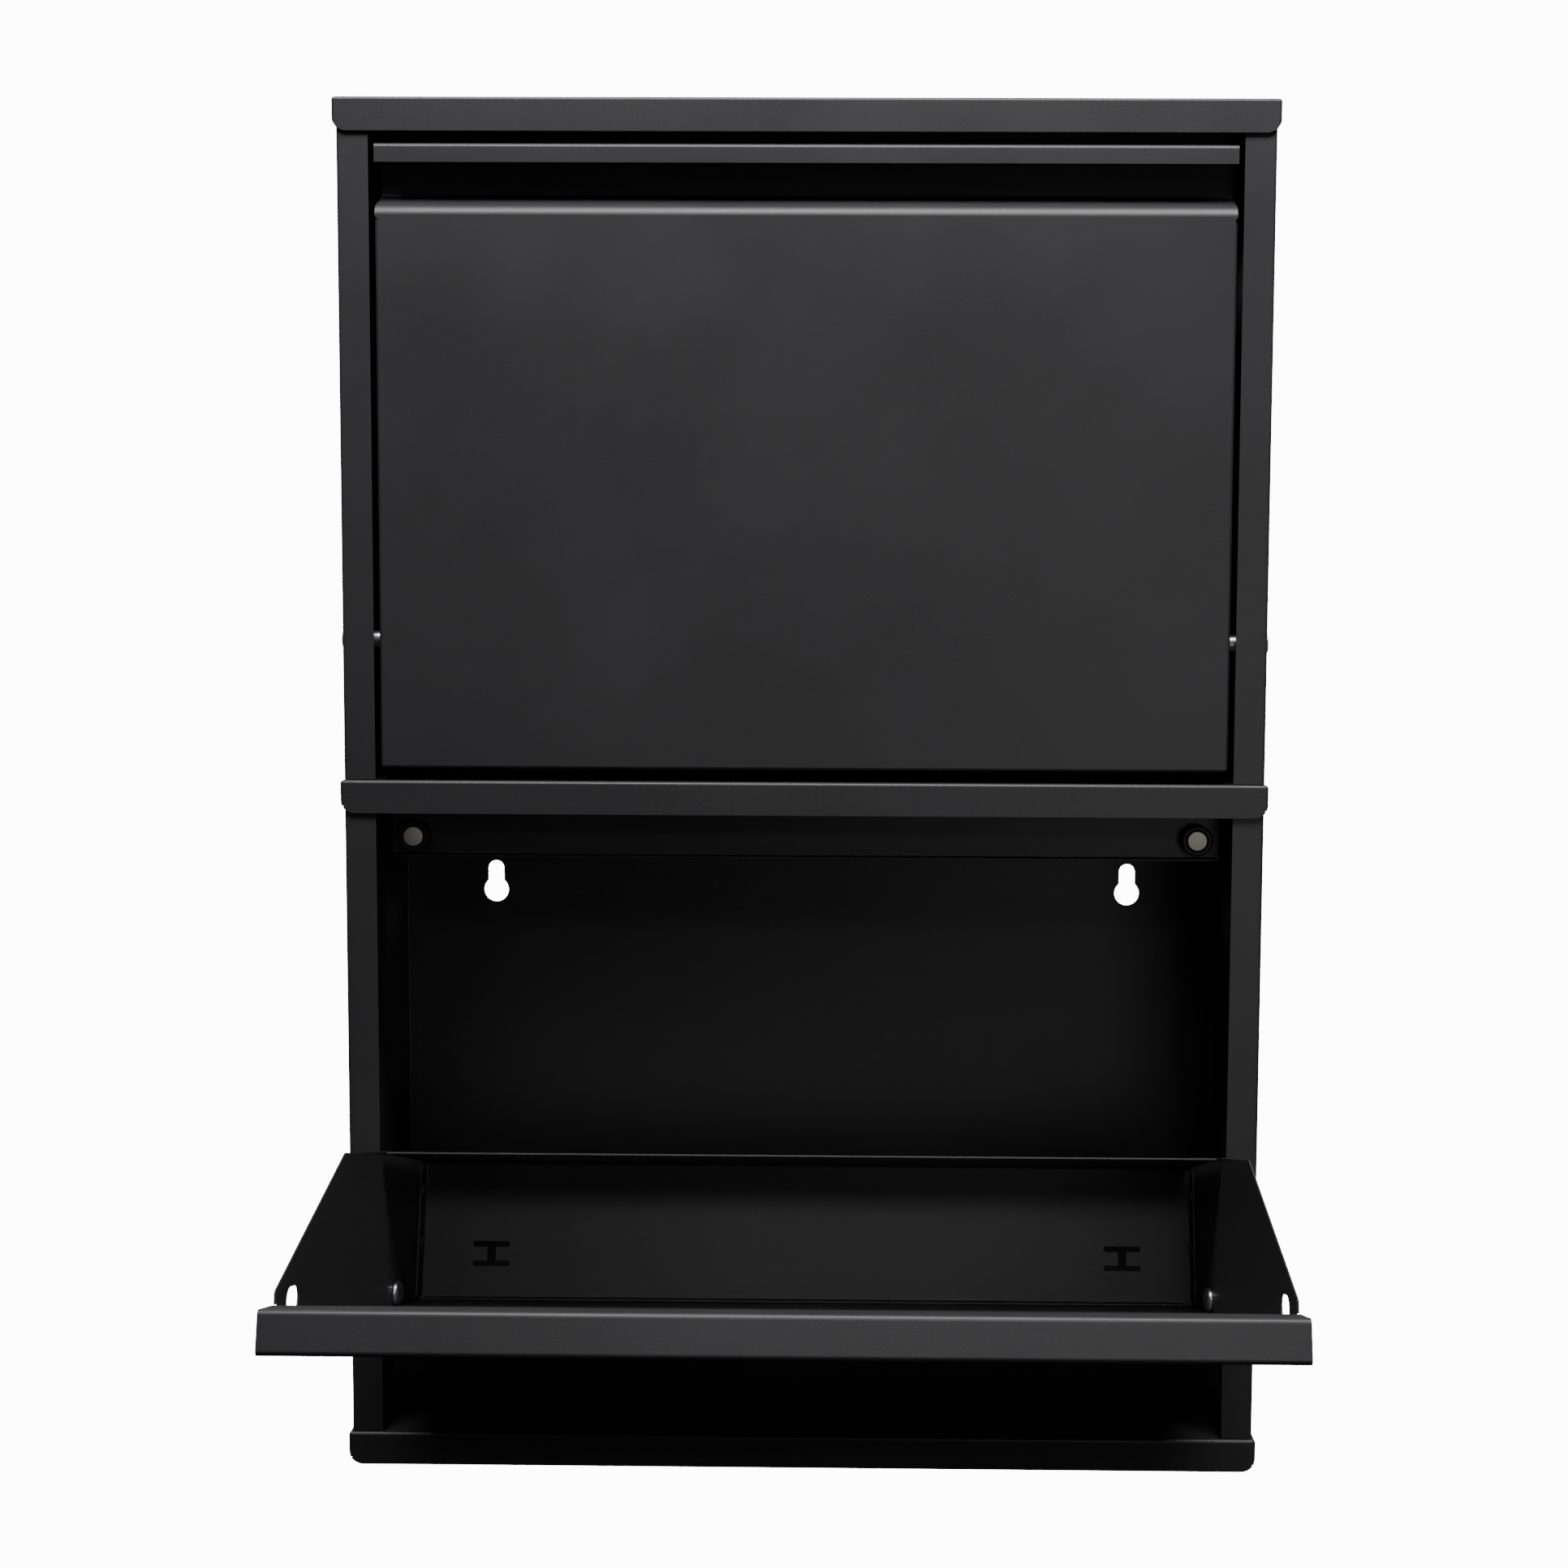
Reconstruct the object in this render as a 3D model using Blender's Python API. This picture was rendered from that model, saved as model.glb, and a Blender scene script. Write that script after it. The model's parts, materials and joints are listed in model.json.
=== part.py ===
"""Wall cabinet of two stacked modules, each with a bin that tilts out on side pivots.

Metres, +Z up, +X to the right, the front faces -Y. The origin lies on the wall plane, midway
between the upper module's two keyholes, at the height of the screws that they hang on.
"""
import math

import bmesh
import bpy
from mathutils import Matrix, Vector

MM = 0.001

# Whole cabinet
CAP_HALF_WIDTH = 250 * MM       # half the width over the caps
CABINET_DEPTH = 150 * MM        # wall plane to the front face of the stiles
MODULE_PITCH = 361 * MM         # height that each module adds
CAP_HEIGHT = 18 * MM            # skirt height of the three caps
SHEET = 0.9 * MM                # sheet steel of every folded piece
GAP = 0.3 * MM                  # room between pieces that touch

# Caps
CAP_SIDE_OVERHANG = 2.0 * MM    # cap edge beyond the side panels
CAP_FRONT_OVERHANG = 1.6 * MM   # cap lip in front of the stiles
CAP_BEND = 1.8 * MM             # outer radius along the cap's top edges
CAP_CORNER = 8.0 * MM           # rounding of the skirt's free lower corners

# Side and back panels
STILE_WIDTH = 17 * MM           # front flange of a side panel
SIDE_FLANGE = 9 * MM            # its top, bottom and rear flanges
BACK_FLANGE = 11 * MM           # top and bottom flanges of a back panel
BACK_EDGE = 1.0 * MM            # back panel's edge inside the side panel's outer face

# Keyholes in the back panels
KEYHOLE_INSET = 55.4 * MM       # side panel's outer face to each keyhole
KEYHOLE_SEAT_DROP = 65 * MM     # next cap's top to the screw seat
KEYHOLE_DROP = 13 * MM          # seat to the centre of the large hole
KEYHOLE_SLOT = 4.8 * MM         # radius of the slot
KEYHOLE_HEAD = 7.4 * MM         # radius of the large hole

# Magnet rail under each cap
RAIL_SETBACK = 29 * MM          # stile face to the rail's front face
RAIL_END_CLEARANCE = 2.3 * MM   # stile's inner edge to the rail's end
RAIL_DROP = 25 * MM             # rail's lower edge below the cap's skirt
RAIL_TOP_FLANGE = 15 * MM
RAIL_LIP = 5 * MM
MAGNET_INSET = 15.5 * MM        # stile's inner edge to the magnet's centre
MAGNET_DROP = 14.5 * MM         # magnet's centre below the cap's skirt
MAGNET_RADIUS = 5.3 * MM
MAGNET_LENGTH = 5.0 * MM
CUP_RADIUS = 8.7 * MM
CUP_PEG_RADIUS = 3.7 * MM
CUP_PEG_LENGTH = 3.2 * MM       # peg behind the rail

# Bin
BIN_SIDE_CLEARANCE = 3.0 * MM   # front panel to each stile
BIN_FOOT_CLEARANCE = 6.5 * MM   # front panel above the module's floor
BIN_HEAD_CLEARANCE = 5.5 * MM   # front panel below the next cap's skirt
BIN_DEPTH = 86 * MM
FACE_DROP = 33.5 * MM           # handle's top to the face's upper bend
RECESS_DEPTH = 19 * MM          # finger recess, face to web
RECESS_RISE = 9 * MM            # height that the slope behind the face gains
HANDLE_LIP = 10.4 * MM          # lip that hangs from the handle flange
FACE_RETURN = 6 * MM            # face's side and bottom returns
TRAY_REAR = 116 * MM            # height of the tray's rear wall
TRAY_LEAN = 6 * MM              # how far that wall leans back over its height
TRAY_FRONT_FLANGE = 10 * MM
TRAY_SIDE_FLANGE = 14 * MM
WING_HEAD_CLEARANCE = 1.5 * MM  # wing's tip below the magnet rail
WING_SLANT = 115.5 * MM         # height over which the wing's rear edge slants
WING_TOP_DEPTH = 6.0 * MM       # width of the wing's tip behind the web
SHARP_BEND = 1.0 * MM           # inner radius of tight folds
SOFT_BEND = 6.0 * MM            # inner radius of the face's upper bend

# Slots and holes in the bin
LANCE_INSET = 43.3 * MM         # front panel's end to a slot's middle
LANCE_SETBACK = 27 * MM         # behind the face
LANCE_BAR = (21 * MM, 3 * MM)   # length and width of its two bars
LANCE_PITCH = 11 * MM           # between the bars
LANCE_STEM = 4.6 * MM
WING_SLOT_SETBACK = 20.5 * MM   # behind the face
WING_SLOT_DROP = 29 * MM        # below the wing's tip
WING_SLOT_SIZE = (12 * MM, 20 * MM)  # depth and height
RIVET_SETBACKS = (33 * MM, 63 * MM)
RIVET_HEIGHT = 8.5 * MM
RIVET_RADIUS = 1.9 * MM
RIVET_HEAD = (3.8 * MM, 1.5 * MM)    # radius and height of the inner dome
RIVET_TAIL = (2.9 * MM, 0.9 * MM)    # radius and height of the outer button

# Pivots
PIVOT_SETBACK = 9 * MM          # behind the face
PIVOT_HEIGHT = 69 * MM          # above the bin's foot
PIVOT_RADIUS = 4.0 * MM         # journal in the wing
PIVOT_SPACER = 5.0 * MM         # radius between wing and side panel
PIVOT_NOTCH_CLEARANCE = 1.0 * MM     # round the spacer, in the front panel's side returns
PIVOT_FOOT_THICKNESS = 2.0 * MM      # foot that stands on the side panel
PIVOT_BUTTON = (6.0 * MM, 1.2 * MM)  # radius and height of its riveted end outside
PIVOT_CAP_LENGTH = 4.2 * MM     # retaining cap
PIVOT_STUB = 2.4 * MM           # journal beyond the wing, inside the cap
OPEN_ANGLE = math.radians(76)   # stop tabs meet the stiles just past this angle
STOP_TAB_HEIGHT = 16 * MM
STOP_TAB_LAP = 9 * MM           # tab behind the stile, sideways

# Screws through module, cap and the module below
SCREW_INSET = 30 * MM           # from the stile face and from the wall
SCREW_RADIUS = 2.0 * MM
SCREW_LENGTH = 8.0 * MM
SCREW_HEAD = (3.4 * MM, 2.4 * MM)

ARC_STEPS = 4                   # facets of a quarter-round bend
TURN_STEPS = 16                 # facets round a pivot, magnet or keyhole
FASTENER_STEPS = 10             # facets round a rivet or screw and its hole

# Sizes that follow
FRONT = -CABINET_DEPTH
SIDE_FACE = CAP_HALF_WIDTH - CAP_SIDE_OVERHANG
OPENING_HALF = SIDE_FACE - STILE_WIDTH
KEYHOLE_HALF_SPAN = SIDE_FACE - KEYHOLE_INSET
KEYHOLE_SEAT = MODULE_PITCH - KEYHOLE_SEAT_DROP
RAIL_HALF_LENGTH = OPENING_HALF - RAIL_END_CLEARANCE
MAGNET_HALF_SPAN = OPENING_HALF - MAGNET_INSET
BIN_HALF = OPENING_HALF - BIN_SIDE_CLEARANCE
WING_OUTER = BIN_HALF - SHEET - GAP
WING_INNER = WING_OUTER - SHEET
TRAY_HALF = WING_INNER - GAP
BIN_HEIGHT = MODULE_PITCH - CAP_HEIGHT - BIN_FOOT_CLEARANCE - BIN_HEAD_CLEARANCE
FACE_TOP = BIN_HEIGHT - FACE_DROP
WEB_BOTTOM = FACE_TOP + RECESS_RISE
WING_TOP = BIN_HEIGHT + BIN_HEAD_CLEARANCE - RAIL_DROP - WING_HEAD_CLEARANCE
WING_SHOULDER = WING_TOP - WING_SLANT
LANCE_HALF_SPAN = BIN_HALF - LANCE_INSET
PIVOT_FOOT_RADIUS = PIVOT_SETBACK - SHEET - 2 * GAP
PIVOT_CAP_RADIUS = PIVOT_SETBACK - 2 * (SHEET + GAP)
SCREW_SETBACKS = (SCREW_INSET, CABINET_DEPTH - SCREW_INSET)
HANG_HEIGHT = CAP_HEIGHT + MODULE_PITCH + KEYHOLE_SEAT
CAP_LEVELS = tuple(CAP_HEIGHT + i * MODULE_PITCH - HANG_HEIGHT for i in range(3))
SCREW_X = SIDE_FACE - SIDE_FLANGE / 2
OVERRUN = 2 * MM                # how far a cutter runs past what it cuts


def coat(name, colour, roughness, metallic):
    """Principled BSDF with one colour, roughness and metallic value."""
    material = bpy.data.materials.new(name)
    material.use_nodes = True
    shader = material.node_tree.nodes["Principled BSDF"]
    shader.inputs["Base Color"].default_value = (*colour, 1)
    shader.inputs["Roughness"].default_value = roughness
    shader.inputs["Metallic"].default_value = metallic
    material.diffuse_color = (*colour, 1)
    return material


def black_coat(name):
    return coat(name + "_coat", (0.022, 0.021, 0.023), 0.42, 0.0)


def zinc(name):
    return coat(name + "_zinc", (0.55, 0.56, 0.58), 0.35, 1.0)


def moulded(name):
    return coat(name + "_plastic", (0.01, 0.01, 0.011), 0.5, 0.0)


def nickel(name):
    return coat(name + "_nickel", (0.66, 0.63, 0.58), 0.3, 1.0)


# ---- outlines ----------------------------------------------------------------------------

def fillet(previous, corner, following, radius):
    """Points of the arc that rounds one corner, or the corner itself when it has no radius."""
    if radius <= 0:
        return [corner]
    (px, py), (cx, cy), (fx, fy) = previous, corner, following
    in_angle = math.atan2(cy - py, cx - px)
    out_angle = math.atan2(fy - cy, fx - cx)
    turn = (out_angle - in_angle + math.pi) % (2 * math.pi) - math.pi
    side = 1 if turn > 0 else -1
    reach = radius * math.tan(abs(turn) / 2)
    start = (cx - reach * math.cos(in_angle), cy - reach * math.sin(in_angle))
    centre = (start[0] - side * radius * math.sin(in_angle), start[1] + side * radius * math.cos(in_angle))
    steps = max(2, round(ARC_STEPS * abs(turn) / (math.pi / 2)))
    points = []
    for i in range(steps + 1):
        angle = in_angle + turn * i / steps - side * math.pi / 2
        points.append((centre[0] + radius * math.cos(angle), centre[1] + radius * math.sin(angle)))
    return points


def rounded(corners):
    """Closed outline from (u, v, radius) corners."""
    outline = []
    count = len(corners)
    for i, (u, v, radius) in enumerate(corners):
        outline += fillet(corners[i - 1][:2], (u, v), corners[(i + 1) % count][:2], radius)
    return outline


def offset_path(path, distance):
    """The path moved sideways to its left by a distance, with mitred corners."""
    angles = [math.atan2(b[1] - a[1], b[0] - a[0]) for a, b in zip(path, path[1:])]
    moved = []
    for (u, v), before, after in zip(path, angles[:1] + angles, angles + angles[-1:]):
        half = ((after - before + math.pi) % (2 * math.pi) - math.pi) / 2
        reach = distance / math.cos(half)
        normal = before + half + math.pi / 2
        moved.append((u + reach * math.cos(normal), v + reach * math.sin(normal)))
    return moved


def folded_strip(path, inner_radii):
    """Closed outline of sheet folded along a path, the sheet lying on the path's left."""
    sides = []
    for side, is_left in ((path, False), (offset_path(path, SHEET), True)):
        points = [side[0]]
        for before, corner, after, inner in zip(side, side[1:], side[2:], inner_radii):
            turn = ((corner[0] - before[0]) * (after[1] - corner[1])
                    - (corner[1] - before[1]) * (after[0] - corner[0]))
            radius = inner if (turn > 0) == is_left else inner + SHEET
            points += fillet(before, corner, after, radius)
        sides.append(points + [side[-1]])
    return sides[0] + sides[1][::-1]


# ---- solids ------------------------------------------------------------------------------

def finished_mesh(name, bm):
    bmesh.ops.recalc_face_normals(bm, faces=bm.faces)
    mesh = bpy.data.meshes.new(name)
    bm.to_mesh(mesh)
    bm.free()
    mesh.shade_smooth()
    mesh.set_sharp_from_angle(angle=math.radians(35))
    return mesh


def prism(name, outline, axis, low, high):
    """Outline extruded along an axis. It is (y, z) for X, (x, z) for Y and (x, y) for Z."""
    bm = bmesh.new()
    place = {
        "X": lambda u, v: (low, u, v),
        "Y": lambda u, v: (u, low, v),
        "Z": lambda u, v: (u, v, low),
    }[axis]
    face = bm.faces.new([bm.verts.new(place(u, v)) for u, v in outline])
    grown = bmesh.ops.extrude_face_region(bm, geom=[face])["geom"]
    shift = [0.0, 0.0, 0.0]
    shift["XYZ".index(axis)] = high - low
    top = [item for item in grown if isinstance(item, bmesh.types.BMVert)]
    bmesh.ops.translate(bm, vec=shift, verts=top)
    return finished_mesh(name, bm)


def block(name, low, high):
    """Rectangular block between two corners."""
    bm = bmesh.new()
    bmesh.ops.create_cube(bm, size=1)
    for vert in bm.verts:
        vert.co = [low[i] if vert.co[i] < 0 else high[i] for i in range(3)]
    return finished_mesh(name, bm)


def turned(name, profile, centre, direction, steps=TURN_STEPS):
    """Closed profile of (distance along the axis, radius) points turned about an axis.

    The profile starts and ends on the axis, which runs from the centre along the direction.
    """
    bm = bmesh.new()
    verts = [bm.verts.new((radius, 0, along)) for along, radius in profile]
    edges = [bm.edges.new(pair) for pair in zip(verts, verts[1:])]
    bmesh.ops.spin(bm, geom=verts + edges, axis=(0, 0, 1), cent=(0, 0, 0), steps=steps,
                   angle=2 * math.pi)
    bmesh.ops.remove_doubles(bm, verts=bm.verts, dist=1e-6)
    turn = Vector(direction).to_track_quat("Z", "Y").to_matrix().to_4x4()
    bmesh.ops.transform(bm, matrix=Matrix.Translation(centre) @ turn, verts=bm.verts)
    return finished_mesh(name, bm)


def rod(name, centre, radius, low, high, axis="X", steps=TURN_STEPS):
    """Plain round bar from low to high along X, Y or Z, its centre given in the other two."""
    outline = [(centre[0] + radius * math.cos(2 * math.pi * i / steps),
                centre[1] + radius * math.sin(2 * math.pi * i / steps)) for i in range(steps)]
    return prism(name, outline, axis, low, high)


def add(mesh, material, parent=None):
    """Object for a sub-part, named after its mesh."""
    obj = bpy.data.objects.new(mesh.name, mesh)
    bpy.context.collection.objects.link(obj)
    mesh.materials.append(material)
    obj.parent = parent
    return obj


def combine(target, mesh, operation):
    """Join a helper shape to the target, or cut it out, with a live Boolean."""
    helper = bpy.data.objects.new(mesh.name, mesh)
    bpy.context.collection.objects.link(helper)
    helper.parent = target.parent
    helper.hide_render = True
    helper.display_type = "WIRE"
    boolean = target.modifiers.new(mesh.name, "BOOLEAN")
    boolean.operation = operation
    boolean.object = helper
    boolean.solver = "EXACT"


def cut(target, *meshes):
    for mesh in meshes:
        combine(target, mesh, "DIFFERENCE")


def join(target, *meshes):
    for mesh in meshes:
        combine(target, mesh, "UNION")


# ---- cabinet -----------------------------------------------------------------------------

def screw_spots():
    """(x, y) of the four screws at one level."""
    return [(side * SCREW_X, FRONT + setback) for side in (-1, 1) for setback in SCREW_SETBACKS]


def screw_holes(name, low, high, sides=(-1, 1)):
    """Cutters for the screws on the named sides."""
    spots = [spot for spot in screw_spots() if math.copysign(1, spot[0]) in sides]
    return [rod(f"{name}_screw_hole_{i}", spot, SCREW_RADIUS + GAP, low, high, "Z", FASTENER_STEPS)
            for i, spot in enumerate(spots)]


def make_cap(name, top, has_screws):
    """Pan with a flat top and skirts on the front and both sides, open behind and below."""
    width = CAP_HALF_WIDTH
    low = top - CAP_HEIGHT
    outer = rounded([(-width, low, CAP_CORNER), (width, low, CAP_CORNER),
                     (width, top, CAP_BEND), (-width, top, CAP_BEND)])
    cap = add(prism(name, outer, "Y", FRONT - CAP_FRONT_OVERHANG, -GAP), black_coat(name))
    inner_bend = CAP_BEND - SHEET
    inner = rounded([(-width + SHEET, low - OVERRUN, 0), (width - SHEET, low - OVERRUN, 0),
                     (width - SHEET, top - SHEET, inner_bend), (-width + SHEET, top - SHEET, inner_bend)])
    cut(cap, prism(name + "_hollow", inner, "Y", FRONT - CAP_FRONT_OVERHANG + SHEET, OVERRUN))
    if has_screws:
        cut(cap, *screw_holes(name, top - SHEET - OVERRUN, top + OVERRUN))
    return cap


def make_side_panel(name, floor, side, screws_above):
    """Side panel folded inwards on all four edges; the wide front flange is the stile."""
    low = floor + GAP
    high = floor + MODULE_PITCH - SHEET - GAP
    back = -SHEET - GAP
    outer_x, inner_x = side * SIDE_FACE, side * OPENING_HALF
    x_low, x_high = min(outer_x, inner_x), max(outer_x, inner_x)
    panel = add(block(name, (x_low, FRONT, low), (x_high, back, high)), black_coat(name))
    skin_x, mouth_x = side * (SIDE_FACE - SHEET), side * (OPENING_HALF - OVERRUN)
    flange_x = side * (SIDE_FACE - SIDE_FLANGE)
    cut(panel, block(name + "_hollow",
                     (min(skin_x, mouth_x), FRONT + SHEET, low + SHEET),
                     (max(skin_x, mouth_x), back - SHEET, high - SHEET)))
    cut(panel, block(name + "_trim",
                     (min(flange_x, mouth_x), FRONT + SHEET, low - OVERRUN),
                     (max(flange_x, mouth_x), back + OVERRUN, high + OVERRUN)))
    pivot = (FRONT + PIVOT_SETBACK, floor + BIN_FOOT_CLEARANCE + PIVOT_HEIGHT)
    cut(panel, rod(name + "_pivot_hole", pivot, PIVOT_RADIUS + GAP,
                   side * SIDE_FACE - 2 * OVERRUN, side * SIDE_FACE + 2 * OVERRUN))
    cut(panel, *screw_holes(name + "_foot", low - OVERRUN, low + SHEET + OVERRUN, (side,)))
    if screws_above:
        cut(panel, *screw_holes(name + "_head", high - SHEET - OVERRUN, high + OVERRUN, (side,)))
    return panel


def keyhole(name, x, seat):
    """Cutters for one keyhole: a round hole with a slot that rises to the screw's seat."""
    centre = seat - KEYHOLE_DROP
    head = rod(name + "_head", (x, centre), KEYHOLE_HEAD, -SHEET - OVERRUN, OVERRUN, "Y")
    slot = rounded([(x - KEYHOLE_SLOT, centre, 0), (x + KEYHOLE_SLOT, centre, 0),
                    (x + KEYHOLE_SLOT, seat + KEYHOLE_SLOT, KEYHOLE_SLOT * 0.999),
                    (x - KEYHOLE_SLOT, seat + KEYHOLE_SLOT, KEYHOLE_SLOT * 0.999)])
    return head, prism(name + "_slot", slot, "Y", -SHEET - OVERRUN, OVERRUN)


def make_back_panel(name, floor):
    """Flat back with short flanges along its top and bottom and two keyholes."""
    low = floor + GAP
    high = floor + MODULE_PITCH - SHEET - GAP
    half = SIDE_FACE - BACK_EDGE
    panel = add(block(name, (-half, -SHEET, low), (half, 0, high)), black_coat(name))
    flange_half = SIDE_FACE - SIDE_FLANGE - GAP
    for end, z_low in (("foot", low), ("head", high - SHEET)):
        join(panel, block(f"{name}_{end}_flange", (-flange_half, -BACK_FLANGE, z_low),
                          (flange_half, -SHEET / 2, z_low + SHEET)))
    for i, x in enumerate((-KEYHOLE_HALF_SPAN, KEYHOLE_HALF_SPAN)):
        cut(panel, *keyhole(f"{name}_keyhole_{i}", x, floor + KEYHOLE_SEAT))
    return panel


def make_rail(name, cap_top):
    """Cross rail under a cap that carries the two magnets."""
    top = cap_top - SHEET - GAP
    bottom = cap_top - CAP_HEIGHT - RAIL_DROP
    front = FRONT + RAIL_SETBACK
    path = [(front + RAIL_TOP_FLANGE, top), (front, top), (front, bottom), (front - RAIL_LIP, bottom)]
    outline = folded_strip(path, (SHARP_BEND, SHARP_BEND))
    rail = add(prism(name, outline, "X", -RAIL_HALF_LENGTH, RAIL_HALF_LENGTH), black_coat(name))
    z = cap_top - CAP_HEIGHT - MAGNET_DROP
    for i, x in enumerate((-MAGNET_HALF_SPAN, MAGNET_HALF_SPAN)):
        cut(rail, rod(f"{name}_peg_hole_{i}", (x, z), CUP_PEG_RADIUS + GAP,
                      front - OVERRUN, front + SHEET + OVERRUN, "Y"))
    return rail


def make_magnet(prefix, side_name, side, cap_top):
    """Magnet in its plastic cup, pegged into the rail; its face meets the bin's closed web."""
    z = cap_top - CAP_HEIGHT - MAGNET_DROP
    x = side * MAGNET_HALF_SPAN
    face = FRONT + RECESS_DEPTH + SHEET + GAP
    rim = GAP
    seat = MAGNET_LENGTH + GAP
    rear = FRONT + RAIL_SETBACK - GAP - face
    peg_end = rear + GAP + SHEET + CUP_PEG_LENGTH
    bore = MAGNET_RADIUS + GAP
    cup = [(seat, 0), (seat, bore), (rim, bore), (rim, CUP_RADIUS - GAP), (2 * rim, CUP_RADIUS),
           (rear, CUP_RADIUS), (rear, CUP_PEG_RADIUS), (peg_end, CUP_PEG_RADIUS), (peg_end, 0)]
    magnet = [(0, 0), (0, MAGNET_RADIUS - GAP), (GAP, MAGNET_RADIUS),
              (MAGNET_LENGTH, MAGNET_RADIUS), (MAGNET_LENGTH, 0)]
    centre = (x, face, z)
    cup_name = f"{prefix}_{side_name}_magnet_cup"
    magnet_name = f"{prefix}_{side_name}_magnet"
    add(turned(cup_name, cup, centre, (0, 1, 0)), moulded(cup_name))
    add(turned(magnet_name, magnet, centre, (0, 1, 0)), nickel(magnet_name))


def make_pivot(prefix, side_name, side, floor):
    """Pivot pin riveted to the side panel, with the cap that keeps the wing on its journal."""
    centre = (0, FRONT + PIVOT_SETBACK, floor + BIN_FOOT_CLEARANCE + PIVOT_HEIGHT)
    inside = SIDE_FACE - SHEET - GAP
    outside = SIDE_FACE + GAP
    foot = inside - PIVOT_FOOT_THICKNESS
    button_radius, button_height = PIVOT_BUTTON
    shoulder = WING_OUTER + GAP
    end = WING_INNER - PIVOT_STUB
    pin = [(end, 0), (end, PIVOT_RADIUS), (shoulder, PIVOT_RADIUS), (shoulder, PIVOT_SPACER),
           (foot, PIVOT_SPACER), (foot, PIVOT_FOOT_RADIUS), (inside, PIVOT_FOOT_RADIUS),
           (inside, PIVOT_RADIUS), (outside, PIVOT_RADIUS),
           (outside, button_radius), (outside + button_height / 2, button_radius * 0.9),
           (outside + button_height, button_radius * 0.5), (outside + button_height, 0)]
    radius, length = PIVOT_CAP_RADIUS, PIVOT_CAP_LENGTH
    mouth = WING_INNER - GAP
    bore = PIVOT_RADIUS + GAP
    bore_end = end - GAP
    cap = [(mouth - length, 0), (mouth - length, radius * 0.45), (mouth - length * 0.85, radius * 0.75),
           (mouth - length * 0.55, radius * 0.96), (mouth - length * 0.3, radius), (mouth, radius),
           (mouth, bore), (bore_end, bore), (bore_end, 0)]
    pin_name = f"{prefix}_{side_name}_pivot_pin"
    cap_name = f"{prefix}_{side_name}_pivot_cap"
    add(turned(pin_name, pin, centre, (side, 0, 0)), zinc(pin_name))
    add(turned(cap_name, cap, centre, (side, 0, 0)), zinc(cap_name))


def make_screws(prefix, floor):
    """Pan-head screws through the side panels' lower flanges and the cap below."""
    seat = floor + GAP + SHEET + GAP
    head_radius, head_height = SCREW_HEAD
    tip = -SCREW_LENGTH
    profile = [(tip, 0), (tip, SCREW_RADIUS * 0.5), (tip + SCREW_RADIUS, SCREW_RADIUS), (0, SCREW_RADIUS),
               (0, head_radius), (head_height * 0.5, head_radius), (head_height, head_radius * 0.6),
               (head_height, 0)]
    names = ("left_front", "left_rear", "right_front", "right_rear")
    for place, (x, y) in zip(names, screw_spots()):
        name = f"{prefix}_{place}_screw"
        add(turned(name, profile, (x, y, seat), (0, 0, 1), FASTENER_STEPS), zinc(name))


# ---- bin, modelled about its pivot: y behind the axis, z above it --------------------------

def from_pivot(setback, height):
    """(y, z) about the pivot of a place given behind the face and above the bin's foot."""
    return setback - PIVOT_SETBACK, height - PIVOT_HEIGHT


def make_front_panel(name, pivot):
    """Face, slope into the finger recess, web, handle flange and lip folded from one sheet."""
    places = [(SHEET, BIN_HEIGHT - HANDLE_LIP), (SHEET, BIN_HEIGHT - SHEET),
              (RECESS_DEPTH, BIN_HEIGHT - SHEET), (RECESS_DEPTH, WEB_BOTTOM), (0, FACE_TOP), (0, 0),
              (FACE_RETURN, 0)]
    radii = (SHARP_BEND, SHARP_BEND + SHEET, SHARP_BEND * 2, SOFT_BEND, SHARP_BEND)
    outline = folded_strip([from_pivot(*place) for place in places], radii)
    panel = add(prism(name, outline, "X", -BIN_HALF, BIN_HALF), black_coat(name), pivot)
    low = from_pivot(SHEET / 2, 0)
    high = from_pivot(FACE_RETURN, FACE_TOP - SOFT_BEND)
    for side_name, x_low in (("left", -BIN_HALF), ("right", BIN_HALF - SHEET)):
        join(panel, block(f"{name}_{side_name}_return", (x_low, *low), (x_low + SHEET, *high)))
    cut(panel, rod(name + "_pivot_notches", (0, 0), PIVOT_SPACER + PIVOT_NOTCH_CLEARANCE,
                   -BIN_HALF - OVERRUN, BIN_HALF + OVERRUN))
    return panel


def make_tray(name, pivot):
    """Front flange, bottom and leaning rear wall from one sheet, with low side flanges."""
    base = SHEET + GAP
    foot_depth = BIN_DEPTH - TRAY_LEAN
    places = [(base, base + TRAY_FRONT_FLANGE), (base, base), (foot_depth, base), (BIN_DEPTH, TRAY_REAR)]
    outline = folded_strip([from_pivot(*place) for place in places], (SHARP_BEND, SHARP_BEND))
    tray = add(prism(name, outline, "X", -TRAY_HALF, TRAY_HALF), black_coat(name), pivot)
    low = from_pivot(base + 2 * SHEET, base + SHEET / 2)
    high = from_pivot(foot_depth - 2 * SHEET, base + TRAY_SIDE_FLANGE)
    for side_name, x_low in (("left", -TRAY_HALF), ("right", TRAY_HALF - SHEET)):
        join(tray, block(f"{name}_{side_name}_flange", (x_low, *low), (x_low + SHEET, *high)))
    for i, x in enumerate((-LANCE_HALF_SPAN, LANCE_HALF_SPAN)):
        cut(tray, lanced_slot(f"{name}_lance_{i}", x, base))
    wide = TRAY_HALF + OVERRUN
    for i, setback in enumerate(RIVET_SETBACKS):
        cut(tray, rod(f"{name}_rivet_hole_{i}", from_pivot(setback, RIVET_HEIGHT),
                      RIVET_RADIUS + GAP, -wide, wide, "X", FASTENER_STEPS))
    return tray


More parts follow.
